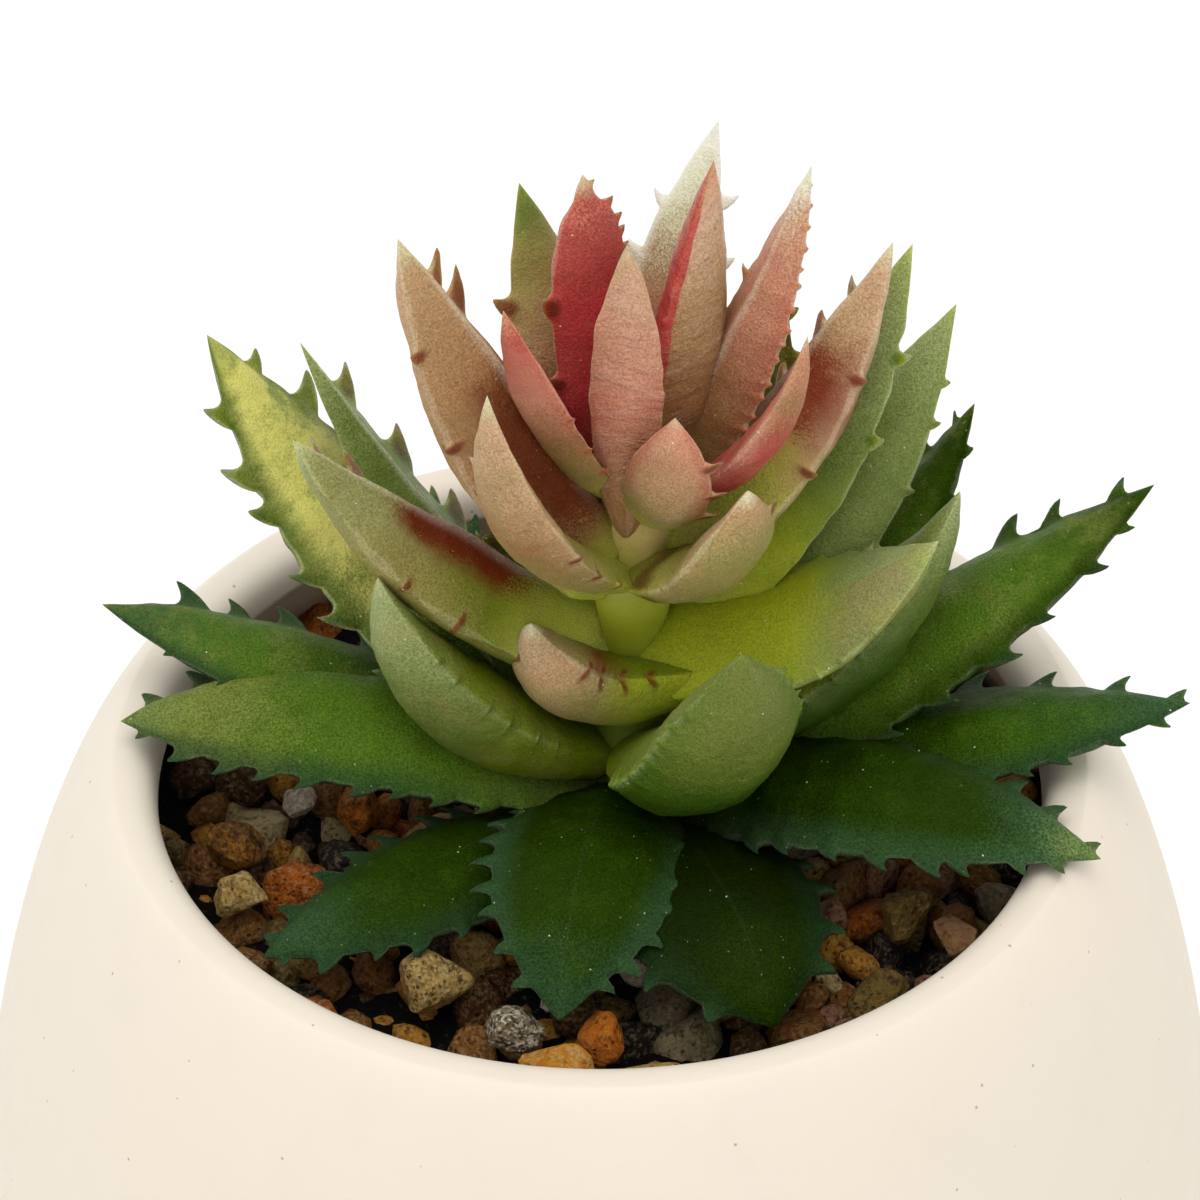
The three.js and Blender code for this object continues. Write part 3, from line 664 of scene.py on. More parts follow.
def ripple(points, wavelength, seed):
    """Smooth repeatable values of about -1 to 1 for an array of points."""
    rng = np.random.default_rng(seed)
    total = np.zeros(points.shape[:-1])
    for _ in range(RIPPLE_WAVES):
        heading = rng.normal(size=3)
        heading *= rng.uniform(0.6, 1.5) / np.linalg.norm(heading)
        total += np.sin(points @ heading * (2 * math.pi / wavelength) + rng.uniform(0, 2 * math.pi))
    return total / math.sqrt(RIPPLE_WAVES)


# ---------------------------------------------------------------------------
# Node helpers
# ---------------------------------------------------------------------------

# Sockets of the Mix node for colours, and of the Random Value node for whole numbers and vectors,
# which share their names with those for other types
MIX_FACTOR, MIX_A, MIX_B, MIX_RESULT = 0, 6, 7, 2
WHOLE_LEAST, WHOLE_MOST, WHOLE_VALUE = 4, 5, 2
VECTOR_MOST = 1


class NodeLayout:
    """Short calls that lay out the nodes of one tree."""

    def __init__(self, tree):
        self.tree = tree

    def node(self, kind, inputs=None, **settings):
        made = self.tree.nodes.new(kind)
        for key, value in settings.items():
            setattr(made, key, value)
        for key, value in (inputs or {}).items():
            self.feed(made.inputs[key], value)
        return made

    def feed(self, socket, value):
        """Links another node's output to the socket, or sets the socket's value."""
        if isinstance(value, bpy.types.NodeSocket):
            self.tree.links.new(value, socket)
        elif socket.type == "RGBA":
            socket.default_value = (*value[:3], 1.0)
        else:
            socket.default_value = value

    def math(self, operation, a, b=0.0, clamp=False):
        return self.node("ShaderNodeMath", {0: a, 1: b}, operation=operation,
                         use_clamp=clamp).outputs[0]


class Finish(NodeLayout):
    """One node-based material."""

    def __init__(self, name):
        self.material = bpy.data.materials.new(name)
        self.material.use_nodes = True
        super().__init__(self.material.node_tree)
        self.tree.nodes.clear()
        self.shader = self.node("ShaderNodeBsdfPrincipled")
        self.node("ShaderNodeOutputMaterial", {"Surface": self.shader.outputs["BSDF"]})
        self.place = self.node("ShaderNodeTexCoord").outputs["Object"]

    def attribute(self, name):
        return self.node("ShaderNodeAttribute", attribute_name=name).outputs["Fac"]

    def height(self):
        """The height above the pot's foot, in metres."""
        return self.node("ShaderNodeSeparateXYZ", {"Vector": self.place}).outputs["Z"]

    def noise(self, scale, detail=2.0, roughness=0.5, place=None):
        inputs = {"Vector": place or self.place, "Scale": scale, "Detail": detail,
                  "Roughness": roughness}
        return self.node("ShaderNodeTexNoise", inputs).outputs["Fac"]

    def cells(self, scale, output="Distance"):
        inputs = {"Vector": self.place, "Scale": scale}
        return self.node("ShaderNodeTexVoronoi", inputs, feature="F1").outputs[output]

    def times(self, *values):
        total = values[0]
        for value in values[1:]:
            total = self.math("MULTIPLY", total, value)
        return total

    def blend(self, value, low, high, to_low=0.0, to_high=1.0):
        """Eases from one value to another as the input goes from low to high."""
        inputs = {"Value": value, "From Min": low, "From Max": high, "To Min": to_low,
                  "To Max": to_high}
        return self.node("ShaderNodeMapRange", inputs, interpolation_type="SMOOTHSTEP").outputs[0]

    def mix(self, factor, a, b, mode="MIX"):
        made = self.node("ShaderNodeMix", data_type="RGBA", blend_type=mode)
        for socket, value in ((MIX_FACTOR, factor), (MIX_A, a), (MIX_B, b)):
            self.feed(made.inputs[socket], value)
        return made.outputs[MIX_RESULT]

    def ramp(self, value, stops, interpolation="LINEAR"):
        """The colour at a value's place among stops, which are pairs of place and colour."""
        made = self.node("ShaderNodeValToRGB", {"Fac": value})
        band = made.color_ramp
        band.interpolation = interpolation
        while len(band.elements) < len(stops):
            band.elements.new(1.0)
        for element, (position, shade) in zip(band.elements, stops):
            element.position = position
            element.color = (*shade[:3], 1.0)
        return made.outputs["Color"]

    def bump(self, height, distance, strength):
        inputs = {"Height": height, "Distance": distance, "Strength": strength}
        return self.node("ShaderNodeBump", inputs).outputs["Normal"]

    def finish(self, **sockets):
        """Feeds the shader's sockets by name, with _ for a space, and returns the material."""
        for key, value in sockets.items():
            self.feed(self.shader.inputs[key.replace("_", " ")], value)
        return self.material


# ---------------------------------------------------------------------------
# Materials
# ---------------------------------------------------------------------------

class Marks(NamedTuple):
    """Small round marks: their cells' scale and reach, the patches they gather in, and strength."""
    scale: float
    reach: tuple
    patch_scale: float
    patch: tuple
    strength: float


FLECKS = Marks(1500, (0.05, 0.12), 900, (0.55, 0.65), 0.5)
LINT = Marks(640, (0.03, 0.055), 300, (0.42, 0.5), 0.75)
PORES = Marks(1300, (0.05, 0.12), 500, (0.5, 0.6), 0.45)
LEAF_MARKS = ((FLECKS, (0.5, 0.55, 0.3)), (LINT, (0.8, 0.83, 0.72)), (PORES, (0.03, 0.03, 0.015)))
# Pale colours that paint highlights on ridges, outlines and folds
PAINTED_HIGHLIGHT = (0.85, 0.8, 0.66)
FOLD_HIGHLIGHT = (0.9, 0.82, 0.7)
GRAIN_DARK = (0.3, 0.3, 0.3)
GRAIN_LIGHT = (0.68, 0.68, 0.68)


def marked(finish, body, marks, shade):
    """The body colour with small round marks scattered over it."""
    spots = finish.blend(finish.cells(marks.scale), *marks.reach, 1.0, 0.0)
    patches = finish.blend(finish.noise(marks.patch_scale, 0), *marks.patch)
    return finish.mix(finish.times(spots, patches, marks.strength), body, shade)


def leaf_shade(key):
    return tuple(getattr(bpy.context.scene.succulent_leaf_colours, key))


def graded_body(finish, look, graded):
    """The colours from root to tip on both faces, with the mottling."""
    inner = finish.ramp(graded, [(place, leaf_shade(key)) for place, key in look.inner])
    outer = finish.ramp(graded, [(place, leaf_shade(key)) for place, key in look.outer])
    body = finish.mix(finish.blend(finish.attribute("upper"), 0.3, 0.7), outer, inner)
    patch = finish.blend(finish.noise(320, 4, 0.6), 0.45, 0.68)
    return finish.mix(finish.times(patch, look.mottle_strength), body, leaf_shade(look.mottle))


def sprayed(finish, body, blush, graded, across, dots):
    """The body with a patch of sprayed colour, which breaks up into dots at its border."""
    airbrush = finish.blend(finish.noise(420, 5, 0.7), 0.3, 0.62, 0.75, 1.0)
    rise = finish.blend(graded, blush.start - 0.12, blush.start + 0.12)
    fall = finish.blend(graded, blush.end - 0.15, blush.end + 0.15, 1.0, 0.0)
    away = finish.blend(finish.math("ABSOLUTE", across), blush.ridge - blush.softness,
                        blush.ridge + blush.softness, 1.0, 0.0)
    cover = finish.times(airbrush, rise, fall, away)
    if blush.side:
        half = finish.math("MULTIPLY", across, blush.side)
        cover = finish.times(cover, finish.blend(half, -blush.softness - blush.lap,
                                                 blush.softness - blush.lap))
    spray = finish.math("ADD", cover, finish.times(dots, 0.8))
    cover = finish.times(finish.blend(spray, 0.15, 0.85), blush.strength)
    return finish.mix(cover, body, leaf_shade(blush.shade))


def edged(finish, body, look, along, across):
    """The body with painted highlights on its ridge and outline, coloured margins, nib and thorns."""
    aside = finish.math("ABSOLUTE", across)
    # Painted highlights: the body paled along the ridge's crest and along the thin outline
    highlight_colour = finish.mix(0.45, body, PAINTED_HIGHLIGHT)
    crest = finish.times(finish.blend(finish.attribute("crest"), 0.3, 0.85),
                         finish.blend(along, 0.1, 0.3), 0.75)
    body = finish.mix(crest, body, highlight_colour)
    rim = finish.times(finish.blend(aside, 0.6, 1.0), finish.blend(along, 0.05, 0.45),
                       look.edge_strength)
    body = finish.mix(rim, body, leaf_shade(look.edge))
    # Painted highlight along the outline
    thin = finish.times(finish.blend(aside, 0.97, 0.995), finish.blend(along, 0.1, 0.3),
                        look.thin_line)
    body = finish.mix(thin, body, highlight_colour)
    if look.nib:
        body = finish.mix(finish.times(finish.blend(along, 0.91, 0.99), look.nib), body,
                          leaf_shade("cream_green"))
    thorn = finish.blend(finish.attribute("tooth"), 0.25, 0.9, 0.0, 0.8)
    return finish.mix(thorn, body, leaf_shade(look.tooth))


def stretched(finish, along, across):
    """Coordinates that draw fine folds across a leaf."""
    sag = finish.times(finish.math("MULTIPLY", across, across), 1.2)
    inputs = {"X": finish.math("ADD", finish.math("MULTIPLY", along, 24.0), sag),
              "Y": finish.math("MULTIPLY", across, 1.1)}
    return finish.node("ShaderNodeCombineXYZ", inputs).outputs[0]


def leaf_material(name, look):
    """A moulded leaf: graded along its length, sprayed, grained and lightly dusted."""
    finish = Finish(name)
    along, across = finish.attribute("along"), finish.attribute("across")
    grain = finish.noise(6000, 2, 0.6)
    dots = finish.math("SUBTRACT", grain, 0.5)
    drift = finish.times(finish.math("SUBTRACT", finish.noise(140, 3), 0.5), 0.3)
    graded = finish.math("ADD", finish.math("ADD", along, drift), finish.times(dots, 0.25), clamp=True)

    body = graded_body(finish, look, graded)
    if look.blush:
        body = sprayed(finish, body, look.blush, graded, across, dots)
    body = edged(finish, body, look, along, across)
    tone = finish.ramp(grain, [(0.33, GRAIN_DARK), (0.67, GRAIN_LIGHT)])
    body = finish.mix(look.grain, body, tone, "OVERLAY")
    for marks, shade in LEAF_MARKS:
        body = marked(finish, body, marks, shade)

    relief = finish.math("ADD", finish.times(grain, 0.6), finish.times(finish.noise(1500, 3), 0.8))
    if look.wrinkles:
        folds = finish.noise(1.0, 3, 0.6, place=stretched(finish, along, across))
        relief = finish.math("ADD", relief, finish.times(folds, 4 * look.wrinkles))
        # Painted highlight on the crests of the folds
        body = finish.mix(finish.times(finish.blend(folds, 0.5, 0.75), 0.35), body,
                          finish.mix(0.4, body, FOLD_HIGHLIGHT))
    return finish.finish(
        Base_Color=body,
        Roughness=finish.blend(finish.noise(600, 3), 0.3, 0.7, 0.36, 0.52),
        Subsurface_Weight=bpy.context.scene.succulent_leaf.translucency * look.glow,
        Subsurface_Radius=(1.0, 0.95, 0.25),
        Subsurface_Scale=2.5 * MM,
        Specular_IOR_Level=look.gloss,
        Specular_Tint=(0.85, 0.95, 0.5),
        Normal=finish.bump(relief, 0.2 * MM, 0.8),
    )


def rock_finish(finish, body, light, dark, speckle):
    """Adds mottling, grains and pits to a stone's colour."""
    cloud = finish.noise(900, 5, 0.7)
    body = finish.mix(finish.blend(cloud, 0.5, 0.66, 0.0, 0.85), body, dark)
    body = finish.mix(finish.blend(finish.noise(1300, 5, 0.7), 0.53, 0.68, 0.0, 0.75), body, light)
    grit = finish.cells(4200, "Color")
    bright = finish.node("ShaderNodeSeparateColor", {"Color": grit}).outputs[0]
    body = finish.mix(finish.times(finish.blend(bright, 0.7, 0.8), speckle * 0.8), body, light)
    body = finish.mix(finish.times(finish.blend(bright, 0.3, 0.2), speckle * 0.8), body, dark)
    pits = finish.blend(finish.cells(1500), 0.1, 0.35, 1.0, 0.0)
    body = finish.mix(finish.times(pits, 0.5), body, dark)
    relief = finish.math("ADD", finish.times(cloud, 1.4), finish.times(finish.noise(3000, 4, 0.7), 0.8))
    relief = finish.math("SUBTRACT", relief, finish.times(pits, 0.6))
    return finish.finish(
        Base_Color=body,
        Roughness=finish.blend(finish.noise(900, 3), 0.3, 0.7, 0.28, 0.55),
        Specular_IOR_Level=0.3,
        Normal=finish.bump(relief, 0.4 * MM, 1.0),
    )


def stone_shade(key):
    return tuple(getattr(bpy.context.scene.succulent_filling, key))


def darker(shade, amount):
    return tuple(part * amount for part in shade)


def lighter(shade, amount):
    return tuple(part + (1 - part) * amount for part in shade)


GRAVEL_DIRT = (0.25, 0.17, 0.09)
GRAVEL_LIGHT = (0.8, 0.62, 0.34)


def gravel_material():
    """Washed gravel in many colours, picked by each stone's tone."""
    finish = Finish("washed_gravel")
    tone = finish.attribute("tone")
    count = len(GRAVEL_SHADES)
    body = finish.ramp(tone, [(i / count, stone_shade(key)) for i, key in enumerate(GRAVEL_SHADES)],
                       "CONSTANT")
    dark = finish.mix(1.0, body, GRAVEL_DIRT, "MULTIPLY")
    light = finish.mix(0.35, body, GRAVEL_LIGHT)
    return rock_finish(finish, body, light, dark, 0.45)


def large_stone_material(name, stone):
    main, dark, light = (stone_shade(key) for key in stone.shades)
    return rock_finish(Finish(name), main, light, dark, stone.speckle)


FINE_SPECKS = Marks(420, (0.035, 0.07), 294, (0.5, 0.55), 0.7)
LARGE_SPECKS = Marks(150, (0.013, 0.026), 105, (0.46, 0.51), 0.7)
# Heights over which the painted shade on the inner wall fades out upwards
INNER_SHADE_HEIGHTS = (66 * MM, 74.5 * MM)


def ceramic_material():
    """Matt slip-cast ceramic with sparse specks, faint pink clouds and painted brown shade inside the
    opening.
    """
    pot = bpy.context.scene.succulent_pot
    finish = Finish("matt_ceramic")
    cloud = finish.blend(finish.noise(28, 3, 0.55), 0.48, 0.75, 0.0, 0.3)
    body = finish.mix(cloud, tuple(pot.glaze), tuple(pot.blush))
    body = finish.mix(finish.blend(finish.noise(160, 4, 0.6), 0.5, 0.8, 0.0, 0.12), body,
                      darker(pot.glaze, 0.8))
    for marks in (FINE_SPECKS, LARGE_SPECKS):
        body = marked(finish, body, marks, tuple(pot.speck))
    # Painted shade: the inner wall turns brown towards the gravel, below the mouth
    low = finish.blend(finish.height(), *INNER_SHADE_HEIGHTS, 1.0, 0.0)
    shading = finish.times(finish.attribute("inside"), low,
                        finish.blend(finish.noise(180, 4, 0.6), 0.2, 0.7, 0.6, 1.0))
    body = finish.mix(finish.times(shading, 0.7), body, tuple(pot.inner_shade))
    relief = finish.math("ADD", finish.noise(900, 3, 0.6), finish.times(finish.noise(90, 2), 2.0))
    return finish.finish(
        Base_Color=body,
        Roughness=finish.blend(finish.noise(300, 3), 0.3, 0.7, 0.46, 0.58),
        Specular_IOR_Level=0.4,
        Subsurface_Weight=0.05,
        Subsurface_Radius=(1.0, 0.8, 0.6),
        Subsurface_Scale=1 * MM,
        Normal=finish.bump(relief, 0.06 * MM, 0.5),
    )


def earth_material(name, shade):
    """Crumbly dark earth or grit."""
    finish = Finish(name)
    body = finish.ramp(finish.noise(1200, 5, 0.7),
                       [(0.3, darker(shade, 0.35)), (0.6, shade), (0.8, lighter(shade, 0.18))])
    relief = finish.math("SUBTRACT", finish.noise(2500, 4, 0.7), finish.cells(700))
    return finish.finish(Base_Color=body, Roughness=0.92, Specular_IOR_Level=0.2,
                         Normal=finish.bump(relief, 0.6 * MM, 1.0))


STEM_GRADE_HEIGHTS = (72 * MM, 110 * MM)
STEM_GRADE_DRIFT = 8 * MM


def stem_material():
    """Green at the foot, passing through lime into a glowing yellow top."""
    finish = Finish("stem_flesh")
    drift = finish.math("SUBTRACT", finish.noise(200, 3), 0.5)
    rise = finish.math("ADD", finish.height(), finish.times(drift, STEM_GRADE_DRIFT))
    graded = finish.blend(rise, *STEM_GRADE_HEIGHTS)
    body = finish.ramp(graded, [(0.0, leaf_shade("leaf_green")), (0.3, leaf_shade("lime")),
                                (0.6, leaf_shade("bright_lime")), (0.75, leaf_shade("glow_lime")),
                                (0.9, tuple(bpy.context.scene.succulent_stem.flesh))])
    grain = finish.noise(3500, 2)
    body = finish.mix(finish.blend(grain, 0.5, 0.8, 0.0, 0.25), body, leaf_shade("pale_green"))
    return finish.finish(Base_Color=body, Roughness=0.5, Subsurface_Weight=0.5,
                         Subsurface_Radius=(1.0, 0.9, 0.3), Subsurface_Scale=1.5 * MM,
                         Normal=finish.bump(grain, 0.1 * MM, 0.6))


def floor_material():
    stage = bpy.context.scene.succulent_stage
    finish = Finish("stage_floor")
    body = finish.mix(finish.blend(finish.noise(8, 2), 0.3, 0.7, 0.0, 0.3), tuple(stage.floor),
                      lighter(stage.floor, 0.5))
    return finish.finish(Base_Color=body, Roughness=0.9, Specular_IOR_Level=0.1)


# ---------------------------------------------------------------------------
# Geometry node trees
# ---------------------------------------------------------------------------

class Tree(NodeLayout):
    """One geometry node tree with named inputs."""

    def __init__(self, name, inputs):
        super().__init__(bpy.data.node_groups.new(name, "GeometryNodeTree"))
        interface = self.tree.interface
        interface.new_socket("Geometry", in_out="INPUT", socket_type="NodeSocketGeometry")
        interface.new_socket("Geometry", in_out="OUTPUT", socket_type="NodeSocketGeometry")
        self.identifiers = {}
        for key, kind in inputs.items():
            socket = interface.new_socket(key, in_out="INPUT", socket_type="NodeSocket" + kind)
            self.identifiers[key] = socket.identifier
        self.source = self.node("NodeGroupInput")

    def value(self, name):
        return self.source.outputs[name]

    def end(self, geometry):
        """Realises the geometry, gives it the tree's material and hands it out."""
        real = self.node("GeometryNodeRealizeInstances", {"Geometry": geometry}).outputs[0]
        smooth = self.node("GeometryNodeSetShadeSmooth", {0: real}).outputs[0]
        coated = self.node("GeometryNodeSetMaterial", {
            "Geometry": smooth, "Material": self.value("Material")}).outputs[0]
        self.node("NodeGroupOutput", {0: coated})

    def apply(self, name, host, values):
        """Runs the tree on a host object and returns its result as a plain mesh object."""
        modifier = host.modifiers.new(name, "NODES")
        modifier.node_group = self.tree
        for key, value in values.items():
            modifier[self.identifiers[key]] = value
        bpy.context.view_layer.update()
        shaped = host.evaluated_get(bpy.context.evaluated_depsgraph_get())
        mesh = bpy.data.meshes.new_from_object(shaped)
        mesh.name = name
        host.modifiers.remove(modifier)
        piece = bpy.data.objects.new(name, mesh)
        bpy.context.scene.collection.objects.link(piece)
        bpy.data.objects.remove(host)
        return piece


MERGE_DISTANCE = 0.001 * MM


def turning_tree():
    """Turns the points of a profile object about +Z, in the order they are listed."""
    tree = Tree("turned_form", {"Profile": "Object", "Segments": "Int", "Material": "Material"})
    profile = tree.node("GeometryNodeObjectInfo", {"Object": tree.value("Profile")})
    points = tree.node("GeometryNodeAttributeDomainSize", {"Geometry": profile.outputs["Geometry"]},
                       component="MESH").outputs["Point Count"]
    grid = tree.node("GeometryNodeMeshGrid", {
        "Vertices X": tree.math("ADD", tree.value("Segments"), 1), "Vertices Y": points})
    index = tree.node("GeometryNodeInputIndex").outputs[0]
    row = tree.math("FLOORED_MODULO", index, points)
    column = tree.math("FLOOR", tree.math("DIVIDE", tree.math("ADD", index, 0.5), points))
    angle = tree.math("MULTIPLY", tree.math("DIVIDE", column, tree.value("Segments")), 2 * math.pi)
    position = tree.node("GeometryNodeInputPosition").outputs[0]
    sample = tree.node("GeometryNodeSampleIndex", data_type="FLOAT_VECTOR", domain="POINT")
    tree.feed(sample.inputs["Geometry"], profile.outputs["Geometry"])
    tree.feed(sample.inputs["Value"], position)
    tree.feed(sample.inputs["Index"], row)
    turned = tree.node("ShaderNodeVectorRotate", {"Vector": sample.outputs[0], "Angle": angle},
                       rotation_type="Z_AXIS").outputs[0]
    placed = tree.node("GeometryNodeSetPosition", {"Geometry": grid.outputs["Mesh"],
                                                   "Position": turned}).outputs[0]
    closed = tree.node("GeometryNodeMergeByDistance", {"Geometry": placed,
                                                       "Distance": MERGE_DISTANCE}).outputs[0]
    tree.end(closed)
    return tree


def turn_profile(name, profile, segments, material):
    """A closed turned mesh from a list of [radius, height] in metres."""
    outline = bpy.data.meshes.new(name + "_profile")
    outline.from_pydata([(r, 0.0, z) for r, z in profile], [], [])
    guide = bpy.data.objects.new(name + "_profile", outline)
    bpy.context.scene.collection.objects.link(guide)
    host = bpy.data.objects.new(name + "_host", bpy.data.meshes.new(name + "_host"))
    bpy.context.scene.collection.objects.link(host)
    piece = turning_tree().apply(name, host, {
        "Profile": guide, "Segments": segments, "Material": material})
    bpy.data.objects.remove(guide)
    face_outwards(piece.data)
    return piece


def scattering_tree():
    """Sets a rock on every point, sized by the point's radius and picked and turned by chance."""
    tree = Tree("scattered_gravel", {"Rocks": "Collection", "Rock Count": "Int",
                                     "Stone Size": "Float", "Seed": "Int", "Material": "Material"})
    rocks = tree.node("GeometryNodeCollectionInfo", {
        "Collection": tree.value("Rocks"), "Separate Children": True, "Reset Children": True})
    radius = tree.node("GeometryNodeInputNamedAttribute", {"Name": "radius"}, data_type="FLOAT")
    size = tree.math("MULTIPLY", radius.outputs[0], tree.value("Stone Size"))
    last = tree.math("SUBTRACT", tree.value("Rock Count"), 1)
    pick = tree.node("FunctionNodeRandomValue", data_type="INT")
    for socket, value in ((WHOLE_LEAST, 0), (WHOLE_MOST, last), ("Seed", tree.value("Seed"))):
        tree.feed(pick.inputs[socket], value)
    turn = tree.node("FunctionNodeRandomValue", data_type="FLOAT_VECTOR")
    for socket, value in ((VECTOR_MOST, (2 * math.pi,) * 3), ("Seed", tree.value("Seed"))):
        tree.feed(turn.inputs[socket], value)
    tree.end(tree.node("GeometryNodeInstanceOnPoints", {
        "Points": tree.value("Geometry"), "Instance": rocks.outputs[0], "Pick Instance": True,
        "Instance Index": pick.outputs[WHOLE_VALUE], "Rotation": turn.outputs[0],
        "Scale": size}).outputs[0])
    return tree


# ---------------------------------------------------------------------------
# Pot
# ---------------------------------------------------------------------------

# The pot's profile
SHOULDER_OUTWARD_POWER = 1.42
SHOULDER_UPWARD_POWER = 1.65
FOOT_POWER = 2.3
LIP_POWER = 3.0
WALL_CLOSING = 8 * MM
FOOT_ROUND = 0.9 * MM
FLOOR_ROUND = 2 * MM
FLOOR_RUN = 3 * MM

# Steps of the profile, and how they crowd together towards the foot and the mouth
FLANK_STEPS = 70
FLANK_CROWDING = 1.6
SHOULDER_STEPS = 90
LIP_STEPS = 30
INSIDE_STEPS = 60
INSIDE_CROWDING = 1.5

# How far in from the crest and from the outer wall a point counts as inside the pot
CREST_MARGIN = 0.6 * MM
WALL_MARGIN = 2 * MM
ON_SURFACE = 0.01 * MM

# The slight unevenness of the wall, which starts above the foot
HAND_SWELL = 0.12 * MM
HAND_SWELL_LENGTH = 50 * MM
HAND_SWELL_SEED = 3
STILL_FOOT = 2 * MM
SWELL_RISE = 10 * MM
LEAST_RADIUS = 10 * MM


def pot_outer_radius(pot, z):
    if z >= pot.widest_height:
        up = min(1.0, (z - pot.widest_height) / (pot.height - pot.widest_height))
        out = (1 - up ** SHOULDER_UPWARD_POWER) ** (1 / SHOULDER_OUTWARD_POWER)
        return pot.crest_radius + (pot.widest_radius - pot.crest_radius) * out
    down = (pot.widest_height - z) / pot.widest_height
    out = math.sqrt(max(0.0, 1 - down ** FOOT_POWER))
    return pot.foot_radius + (pot.widest_radius - pot.foot_radius) * out


def pot_inner_radius(pot, z):
    side = pot_outer_radius(pot, z) - pot.wall
    closing = min(1.0, max(0.0, (pot.height - pot.lip_drop - z) / WALL_CLOSING))
    return pot.opening_radius + (side - pot.opening_radius) * math.sqrt(closing)


def pot_profile(pot):
    """The profile from the middle of the foot, up the outside, over the lip and down inside."""
    profile = [[0.0, 0.0], [pot.foot_radius * 0.5, 0.0], [pot.foot_radius - FOOT_ROUND, 0.0]]
    for k in range(1, FLANK_STEPS):
        z = pot.widest_height * (k / FLANK_STEPS) ** FLANK_CROWDING
        profile.append([max(pot_outer_radius(pot, z), pot.foot_radius), z])
    top = pot.height - pot.widest_height
    for k in range(SHOULDER_STEPS):
        z = pot.widest_height + top * math.sin(k / SHOULDER_STEPS * math.pi / 2)
        profile.append([pot_outer_radius(pot, z), z])
    for k in range(LIP_STEPS + 1):
        angle = k / LIP_STEPS * math.pi / 2
        inward = math.sin(angle) ** (2 / LIP_POWER)
        drop = 1 - math.cos(angle) ** (2 / LIP_POWER)
        radius = pot.crest_radius - (pot.crest_radius - pot.opening_radius) * inward
        profile.append([radius, pot.height - pot.lip_drop * drop])
    mouth = pot.height - pot.lip_drop
    corner = pot.wall + FLOOR_ROUND
    for k in range(1, INSIDE_STEPS):
        z = mouth - (mouth - corner) * (k / INSIDE_STEPS) ** INSIDE_CROWDING
        profile.append([pot_inner_radius(pot, z), z])
    profile.append([pot_inner_radius(pot, corner) - FLOOR_RUN, pot.wall])
    profile.append([0.0, pot.wall])
    return profile


class SUCCULENT_OT_make_pot(Operator):
    """Make the egg-shaped ceramic pot"""
    bl_idname = "succulent.make_pot"
    bl_label = "Make Pot"

    def execute(self, context):
        pot = context.scene.succulent_pot
        piece = turn_profile("pot_ceramic_shell", pot_profile(pot), pot.segments,
                             ceramic_material())
        points = read_points(piece.data)
        height = points[:, 2]
        radius = np.hypot(points[:, 0], points[:, 1])
        outer = np.array([pot_outer_radius(pot, z) for z in height])
        inward = (radius < pot.crest_radius - CREST_MARGIN) | (radius < outer - WALL_MARGIN)
        inside = inward & (height > pot.wall - ON_SURFACE)
        layer = piece.data.attributes.new("inside", "FLOAT", "POINT")
        layer.data.foreach_set("value", inside.astype(np.float32))
        free = np.clip((height - STILL_FOOT) / SWELL_RISE, 0, 1)
        swell = HAND_SWELL * ripple(points, HAND_SWELL_LENGTH, HAND_SWELL_SEED) * free
        points[:, :2] *= (1 + swell / np.maximum(radius, LEAST_RADIUS))[:, None]
        move_points(piece.data, points)
        hand_over(piece, ["pot"])
        return {"FINISHED"}


# ---------------------------------------------------------------------------
# Gravel
# ---------------------------------------------------------------------------

# How a ball is worn into a pebble, in shares of its radius
WORN_SIDES = 14
WORN_DISTANCES = (0.5, 0.8)
WORN_EDGE = 0.035
WORN_EDGE_LOSS = 0.25
WORN_SHARE = 0.92
LUMP_HEIGHTS = (0.045, 0.018)
LUMP_LENGTHS = (1.1, 0.4)
LUMP_SEEDS = (500, 900)

# The packing of the small stones: lengths in millimetres, and shares of an overlap or a radius
MEDIAN_RADIUS = 1.8
RADIUS_SPREAD = 0.26
RADIUS_LIMITS = (1.05, 2.8)
POUR_RADIUS = 34
POUR_HEIGHTS = (67, 71)
PACKING_ROUNDS = 170
PACKING_FLOOR = 66.3
SINKING = 0.04
STONE_PUSH = 0.35
OBSTACLE_PUSH = 0.7
STONE_TOUCH = 0.84
OBSTACLE_TOUCH = 0.9
FLOOR_TOUCH = 0.5
WALL_TOUCH = 0.95
NO_DISTANCE = 1e-9

# What the small stones keep clear of: heights and clearance in millimetres
LARGE_STONE_SHARE = 0.27
LEAF_CLEARANCE = 0.2
LEAF_STATIONS = np.linspace(0, 0.9, 14)
STEM_BALL_HEIGHTS = range(64, 80, 2)
WALL_HEIGHTS = np.arange(60, 78)


def rock_form(seed, subdivisions):
    """A pebble of about unit radius: a ball worn flat on several sides. Returns points and faces."""
    rng = np.random.default_rng(seed)
    ball = bmesh.new()
    bmesh.ops.create_icosphere(ball, subdivisions=subdivisions, radius=1.0)
    points = np.array([vert.co[:] for vert in ball.verts])
    faces = [[vert.index for vert in face.verts] for face in ball.faces]
    ball.free()
    for _ in range(WORN_SIDES):
        normal = rng.normal(size=3)
        normal /= np.linalg.norm(normal)
        over = points @ normal - rng.uniform(*WORN_DISTANCES)
        eased = np.maximum(over + WORN_EDGE, 0) ** 2 / (4 * WORN_EDGE)
        pushed = np.where(over > WORN_EDGE, over - WORN_EDGE * WORN_EDGE_LOSS, eased)
        points -= np.clip(pushed, 0, None)[:, None] * normal * WORN_SHARE
    for height, wavelength, offset in zip(LUMP_HEIGHTS, LUMP_LENGTHS, LUMP_SEEDS):
        points *= 1 + height * ripple(points, wavelength, seed + offset)[:, None]
    points -= points.mean(axis=0)
    points /= np.abs(points).max(axis=0)
    return points, faces


